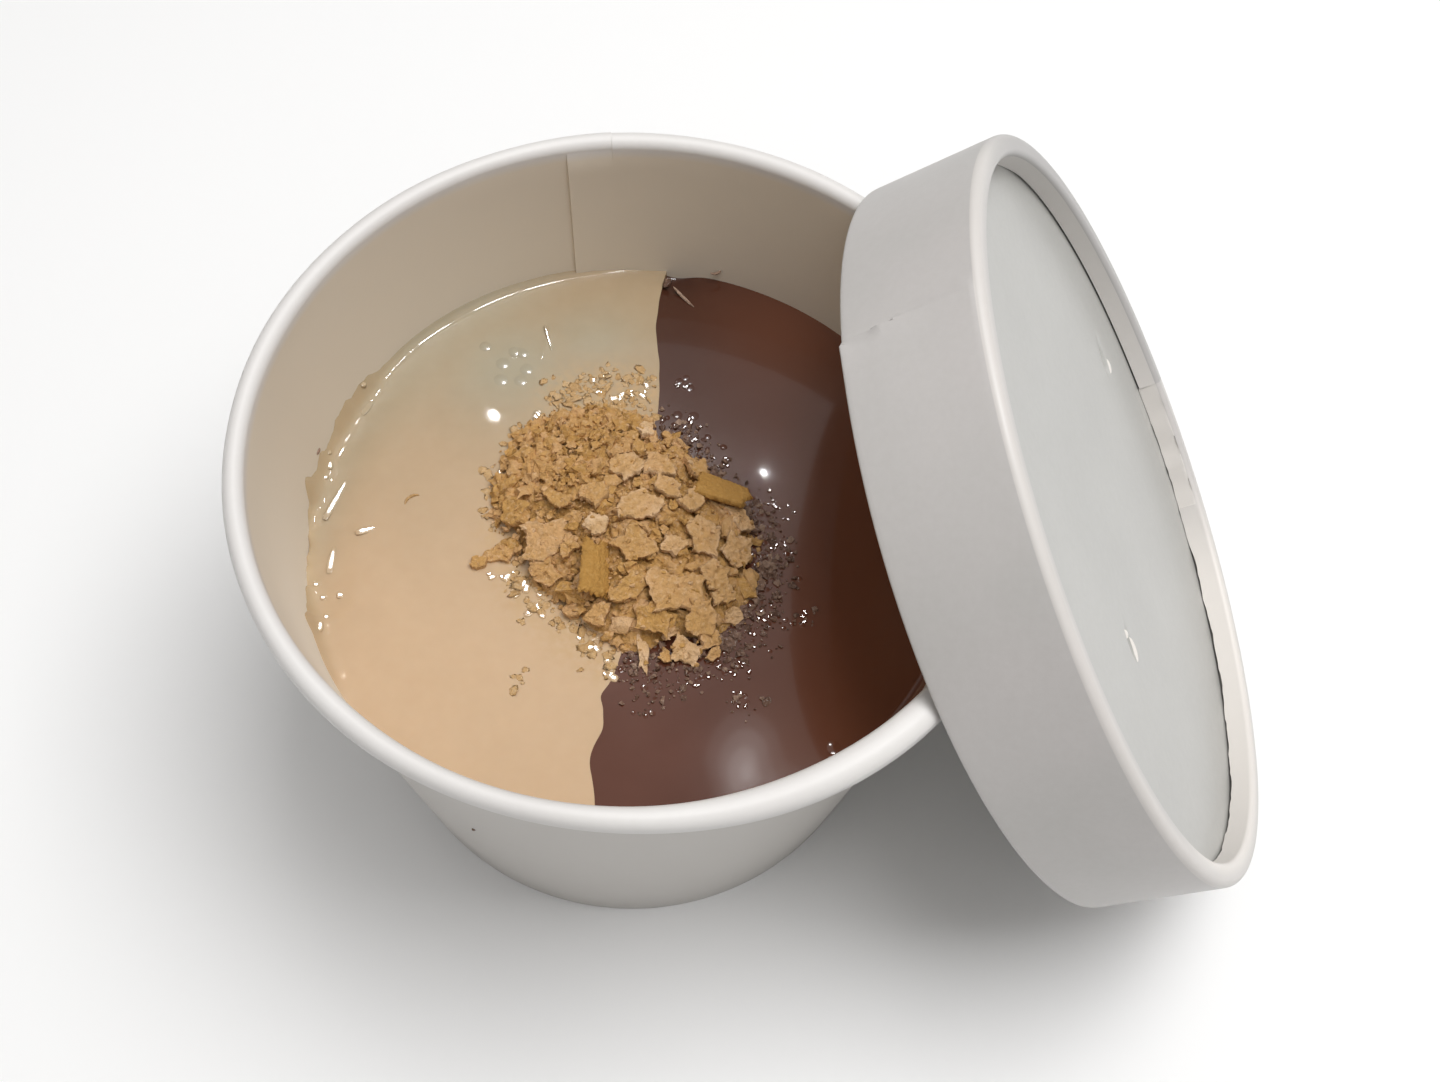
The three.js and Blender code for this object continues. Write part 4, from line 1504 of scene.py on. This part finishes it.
lidDiscLook = {
    "light": colour(0.483, 0.478, 0.452),
    "shade": colour(0.452, 0.448, 0.427),
    "satin": 0.30,
    "sheen": 0.5,
}
discDents = [  # up the lid, towards the back, length, width, turn, depth
    (-14.8, 33.2, 3.6, 1.2, 62, 0.9),
    (-2.4, -18.6, 3.6, 1.2, 62, 0.5),
]
discTears = [  # slivers of torn paper standing up at the dents: up, towards the back, length, width, turn
    (-17.1, 32.6, 2.4, 0.45, 62),
    (-3.4, -19.2, 3.6, 0.5, 62),
    (-0.9, -17.9, 1.3, 0.45, 62),
]


def lidPlace(radius, degrees, height):
    lean, turn = math.radians(lid["lean"]), np.radians(degrees)
    middle = np.array([lid["foot"] - lid["mouth"] * math.sin(lean), 0, lid["mouth"] * math.cos(lean)])
    axis = np.array([math.cos(lean), 0, math.sin(lean)])
    upward = np.array([-math.sin(lean), 0, math.cos(lean)])
    sideways = np.array([0, 1, 0])
    radius, turn, height = (values[..., None] for values in np.broadcast_arrays(radius, turn, height))
    return middle + radius * np.cos(turn) * upward + radius * np.sin(turn) * sideways + height * axis


def dishAt(radius):
    return lidDisc["dish"] * (1 - (radius / lidDisc["radius"]) ** 2)


def lidBandProfile():
    paper, hemPaper, mouth, crown = lid["paper"], lid["hemPaper"], lid["mouth"], lid["crown"]
    roll, lip, hem, edge = lid["edgeRoll"], lid["lip"], lid["hemRadius"], lid["mouthEdge"]
    rollMiddle = (crown - roll, lid["height"] - roll)
    lipMiddle = (hem + lip, lid["height"] - lip)
    bottom, hemTop = lidDisc["height"] + lid["hemClear"], lipMiddle[1] - 0.1
    rising = np.linspace(0.8, rollMiddle[1] - 0.1, 22)
    return profileOf([
        (arcPoints((mouth - edge, edge), edge, 180, 360, 6), "mouth"),
        ([(mouth + (crown - mouth) * z / rollMiddle[1], z) for z in rising], "outer"),
        (arcPoints(rollMiddle, roll, 0, 90, 14), "edge"),
        (arcPoints(lipMiddle, lip, 90, 180, 10), "lip"),
        ([(hem, z) for z in np.linspace(hemTop, bottom, 9)], "hem"),
        ([(hem + hemPaper, z) for z in np.linspace(bottom, hemTop, 5)], "hem"),
        (arcPoints(lipMiddle, lip - hemPaper, 180, 90, 5), "within"),
        (arcPoints(rollMiddle, roll - hemPaper, 90, 0, 6), "within"),
        ([(mouth - paper, z) for z in np.linspace(rollMiddle[1] - 0.3, 0.6, 14)], "within"),
    ])


def hemGap(degrees):
    straight = smoothStep(*lid["gapFrom"], degrees) * (degrees < lid["hemEnd"])
    ripple = 1.2 + 0.4 * np.sin(degrees * 0.21) + 0.35 * np.sin(degrees * 0.53 + 1)
    ripple = ripple + 0.22 * np.sin(degrees * 1.3) + 0.16 * np.sin(degrees * 2.3 + 2)
    return lid["gapDepth"] * (straight + band(degrees, *lid["wavy"]) * ripple)


def makeLidBand(finish):
    profile, kinds = lidBandProfile()
    degrees = np.degrees(anglesRound(lid["sides"], (lid["seam"], lid["hemEnd"], lid["hemStart"])))[:, None]
    r, z = profile.T[:, None, :]
    away = (degrees - lid["seam"] - lid["seamSlant"] * (z - 7) + 180) % 360 - 180
    lap = np.where(away < 0, np.exp(away / lid["seamFade"]), 0) * lid["seamStep"]
    lap = lap * (1 - 0.8 * smoothStep(4, 12, z))
    flare = np.where(away < 0, np.exp(away / 4), 0) * lid["flare"] * np.exp(-z / 2.5)
    outside = np.isin(kinds, ("outer", "mouth"))
    radius = r + np.where(outside, lap + flare, 0) + np.where(kinds == "edge", 0.35 * lap, 0)
    bow = 0.10 * np.sin(2 * np.radians(degrees) + 0.5) + 0.05 * np.sin(5 * np.radians(degrees))
    radius = radius + bow * (1 - z / lid["height"])
    onHem = kinds == "hem"
    bare = (degrees > lid["hemEnd"]) & (degrees < lid["hemStart"])
    crinkle = np.sin(degrees * 0.8) + 0.7 * np.sin(degrees * 1.5 + z * 1.5)
    crinkle = crinkle * hump(degrees, lid["crinkleAt"], lid["crinkleWidth"])
    bottom, hemTop = lidDisc["height"] + lid["hemClear"], lid["height"] - lid["lip"]
    share = np.clip((hemTop - z) / (hemTop - bottom), 0, 1)
    radius = radius + np.where(onHem, share * 0.3 * bare + lid["crinkle"] * crinkle, 0)
    height = z + np.where(onHem, share * (hemGap(degrees) - 0.04 + 0.12 * np.abs(crinkle)), 0)
    points = lidPlace(radius, degrees, height).reshape(-1, 3)
    faces = flipped(gridFaces(len(degrees), len(profile), True, True))
    # the inside mark paints the far hem and creamyLit stretches paler (painted light) and the near edge
    # roll paler (painted highlight); the bare stretch is paler as bare paper
    pastTop = smoothStep(*lid["farFrom"], degrees)
    far = pastTop * (degrees < lid["hemEnd"])
    creamyLit = band(degrees, *lid["creamyLit"]) * (onHem | (kinds == "lip"))
    hemTone = lid["edgeTone"] * pastTop + lid["bareTone"] * bare
    plain = np.where(onHem, hemTone, lid["edgeTone"] * (kinds == "edge") * (1 - far))
    marks = {
        "inside": np.maximum(creamyLit, plain).ravel(),
        # the far side's lip and edge roll take the painted shade of the fold colour
        "fold": (far * np.isin(kinds, ("lip", "edge"))).ravel(),
    }
    return makePiece("lidBand", points, faces, finish, 35, marks)


def makeLidDisc(finish):
    top, paper, rim, fineTo = (lidDisc[size] for size in ("height", "paper", "radius", "fineTo"))
    outer = np.linspace(fineTo + 0.4, rim - paper, lidDisc["outerRings"])
    upper = np.concatenate([np.linspace(0, fineTo, lidDisc["fineRings"]), outer])[::-1]
    under = np.linspace(rim, 0, lidDisc["underRings"])[::-1]
    r = np.concatenate([under, [rim, rim - paper], upper])
    z = np.concatenate([top - paper - dishAt(under), [top + lidDisc["flange"]] * 2, top - dishAt(upper)])
    turns = np.linspace(0, 360, lidDisc["sides"], endpoint=False)[:, None]
    up, side = r * np.cos(np.radians(turns)), r * np.sin(np.radians(turns))
    height = z + 0.06 * np.sin(up / 11 + 0.5) * np.sin(side / 13) * (r < 45)
    onTop = np.arange(len(r)) >= len(r) - len(upper)
    for dentUp, dentSide, length, width, turn, depth in discDents:
        along, across = alongAcross(up - dentUp, side - dentSide, turn)
        height = height - depth * hump(along, 0, length / 2) * hump(across, 0, width / 2) * onTop
    points = lidPlace(r, turns, height).reshape(-1, 3)
    faces = flipped(gridFaces(lidDisc["sides"], len(r), True))
    return makePiece("lidDisc", points, faces, finish, 35)


def makeDiscTears(finish):
    steps, rises, thick, rooted = 13, 7, 0.12, 0.1
    u, v = np.meshgrid(np.linspace(-1, 1, steps), np.linspace(0, 1, rises), indexing="ij")
    curve = np.sqrt(1 - u ** 2)
    swell = thick * (1 - u ** 2) * v * (1 - v) * 4
    faces = gridFaces(steps, rises)
    bodies = []
    for tearUp, tearSide, length, width, turn in discTears:
        up, side = alongAcross(u * length / 2, v * width * curve * 0.7, -turn)
        up, side = tearUp + up, tearSide + side
        radius, degrees = np.hypot(up, side), np.degrees(np.arctan2(side, up))
        height = lidDisc["height"] - dishAt(radius) + width * 0.75 * v * curve - rooted
        for skin, sides in ((height + swell, faces), (height - swell, flipped(faces))):
            bodies.append((lidPlace(radius, degrees, skin).reshape(-1, 3), sides))
    points, faces = joined(bodies)
    return makePiece("discTears", points, faces, finish, 60, {"inside": np.ones(len(points))}, True)


lidPaper = paperFinish("lidPaper", lidPaperLook)
lidDiscPaper = paperFinish("lidDiscPaper", lidDiscLook)
dress(makeLidBand(lidPaper), "lid_band", "lid_paper")
dress(makeLidDisc(lidDiscPaper), "lid_disc", "lid_disc_paper")
dress(makeDiscTears(lidPaper), "lid_disc", "lid_disc_paper")
print("lid made")


# Floor and light

studio = {
    "floor": colour(0.94, 0.94, 0.94),
    "floorReach": 4,  # metres
    "floorDrop": 0.00005,
    "sky": 0.72,
    "skyColour": colour(1.0, 0.99, 0.975),
    "horizon": 0.03,
    "skyFrom": 0.35,  # sine of the height above the horizon
    "skyTo": 0.85,
    "aim": (0, 0, 47),  # the lamps point at the puddings
}
softbox = {"name": "softbox", "place": (230, 10, 850), "size": 0.5, "power": 5.3}
sparkLamps = [  # far lamps that show only in reflections, as sparks and glows on what is wet
    {"name": "sparkMiddle", "place": (9, 445, 852), "size": 0.010, "power": 1.0},
    {"name": "sparkLeft", "place": (-86, 540, 852), "size": 0.006, "power": 0.0135},
    {"name": "sparkBack", "place": (97, 485, 852), "size": 0.004, "power": 0.012},
    {"name": "sparkEdge", "place": (249, 122, 852), "size": 0.10, "power": 1.2},
    {"name": "sparkEdgeBack", "place": (170, 56, 852), "size": 0.05, "power": 0.4},
    {"name": "sparkEdgeMiddle", "place": (105, 55, 852), "size": 0.05, "power": 0.4},
    {"name": "sparkEdgeFar", "place": (45, 54, 852), "size": 0.05, "power": 0.4},
    {"name": "glowWide", "place": (72, 290, 854), "size": 0.042, "power": 0.005},
    {"name": "glowHalf", "place": (72, 286, 855), "size": 0.027, "power": 0.0038},
    {"name": "glowInner", "place": (72, 282, 856), "size": 0.016, "power": 0.0022},
    {"name": "glowCore", "place": (74, 280, 857), "size": 0.008, "power": 0.0008},
]


def makeFloor():
    finish, tree, shader = newFinish("paleFloor")
    feed(tree, shader, Base_Color=studio["floor"], Roughness=0.9, Specular_IOR_Level=0.0)
    reach, level = studio["floorReach"], -studio["floorDrop"]
    corners = [(x * reach, y * reach, level) for x, y in ((-1, -1), (1, -1), (1, 1), (-1, 1))]
    mesh = bpy.data.meshes.new("paleFloor")
    mesh.from_pydata(corners, [], [[0, 1, 2, 3]])
    mesh.materials.append(finish)
    floor = bpy.data.objects.new("paleFloor", mesh)
    scene.collection.objects.link(floor)


def makeSky():
    world = bpy.data.worlds.new("softStudio")
    scene.world = world
    world.use_nodes = True
    tree = world.node_tree
    tree.nodes.clear()
    direction = addNode(tree, "ShaderNodeTexCoord").outputs["Generated"]
    height = addNode(tree, "ShaderNodeSeparateXYZ", {"Vector": direction}).outputs["Z"]
    values = {"Value": height, "From Min": studio["skyFrom"], "From Max": studio["skyTo"],
              "To Min": studio["horizon"], "To Max": studio["sky"]}
    strength = addNode(tree, "ShaderNodeMapRange", values, interpolation_type="SMOOTHSTEP").outputs[0]
    sky = addNode(tree, "ShaderNodeBackground", {"Color": studio["skyColour"], "Strength": strength})
    output = tree.nodes.new("ShaderNodeOutputWorld")
    tree.links.new(sky.outputs[0], output.inputs["Surface"])


def makeLamp(lamp, spark):
    light = bpy.data.lights.new(lamp["name"], "AREA")
    light.shape = "DISK" if spark else "SQUARE"
    light.size, light.energy = lamp["size"], lamp["power"]
    holder = bpy.data.objects.new(lamp["name"], light)
    start, end = (Vector(point) for point in inFrame([lamp["place"], studio["aim"]]))
    facing = (start - end).to_track_quat("Z", "Y").to_matrix().to_4x4()
    holder.matrix_world = Matrix.Translation(start) @ facing
    holder.visible_glossy = spark
    holder.visible_diffuse = not spark
    scene.collection.objects.link(holder)


makeFloor()
makeSky()
makeLamp(softbox, False)
for lamp in sparkLamps:
    makeLamp(lamp, True)
scene.view_settings.view_transform = "Standard"
print("floor and light set")
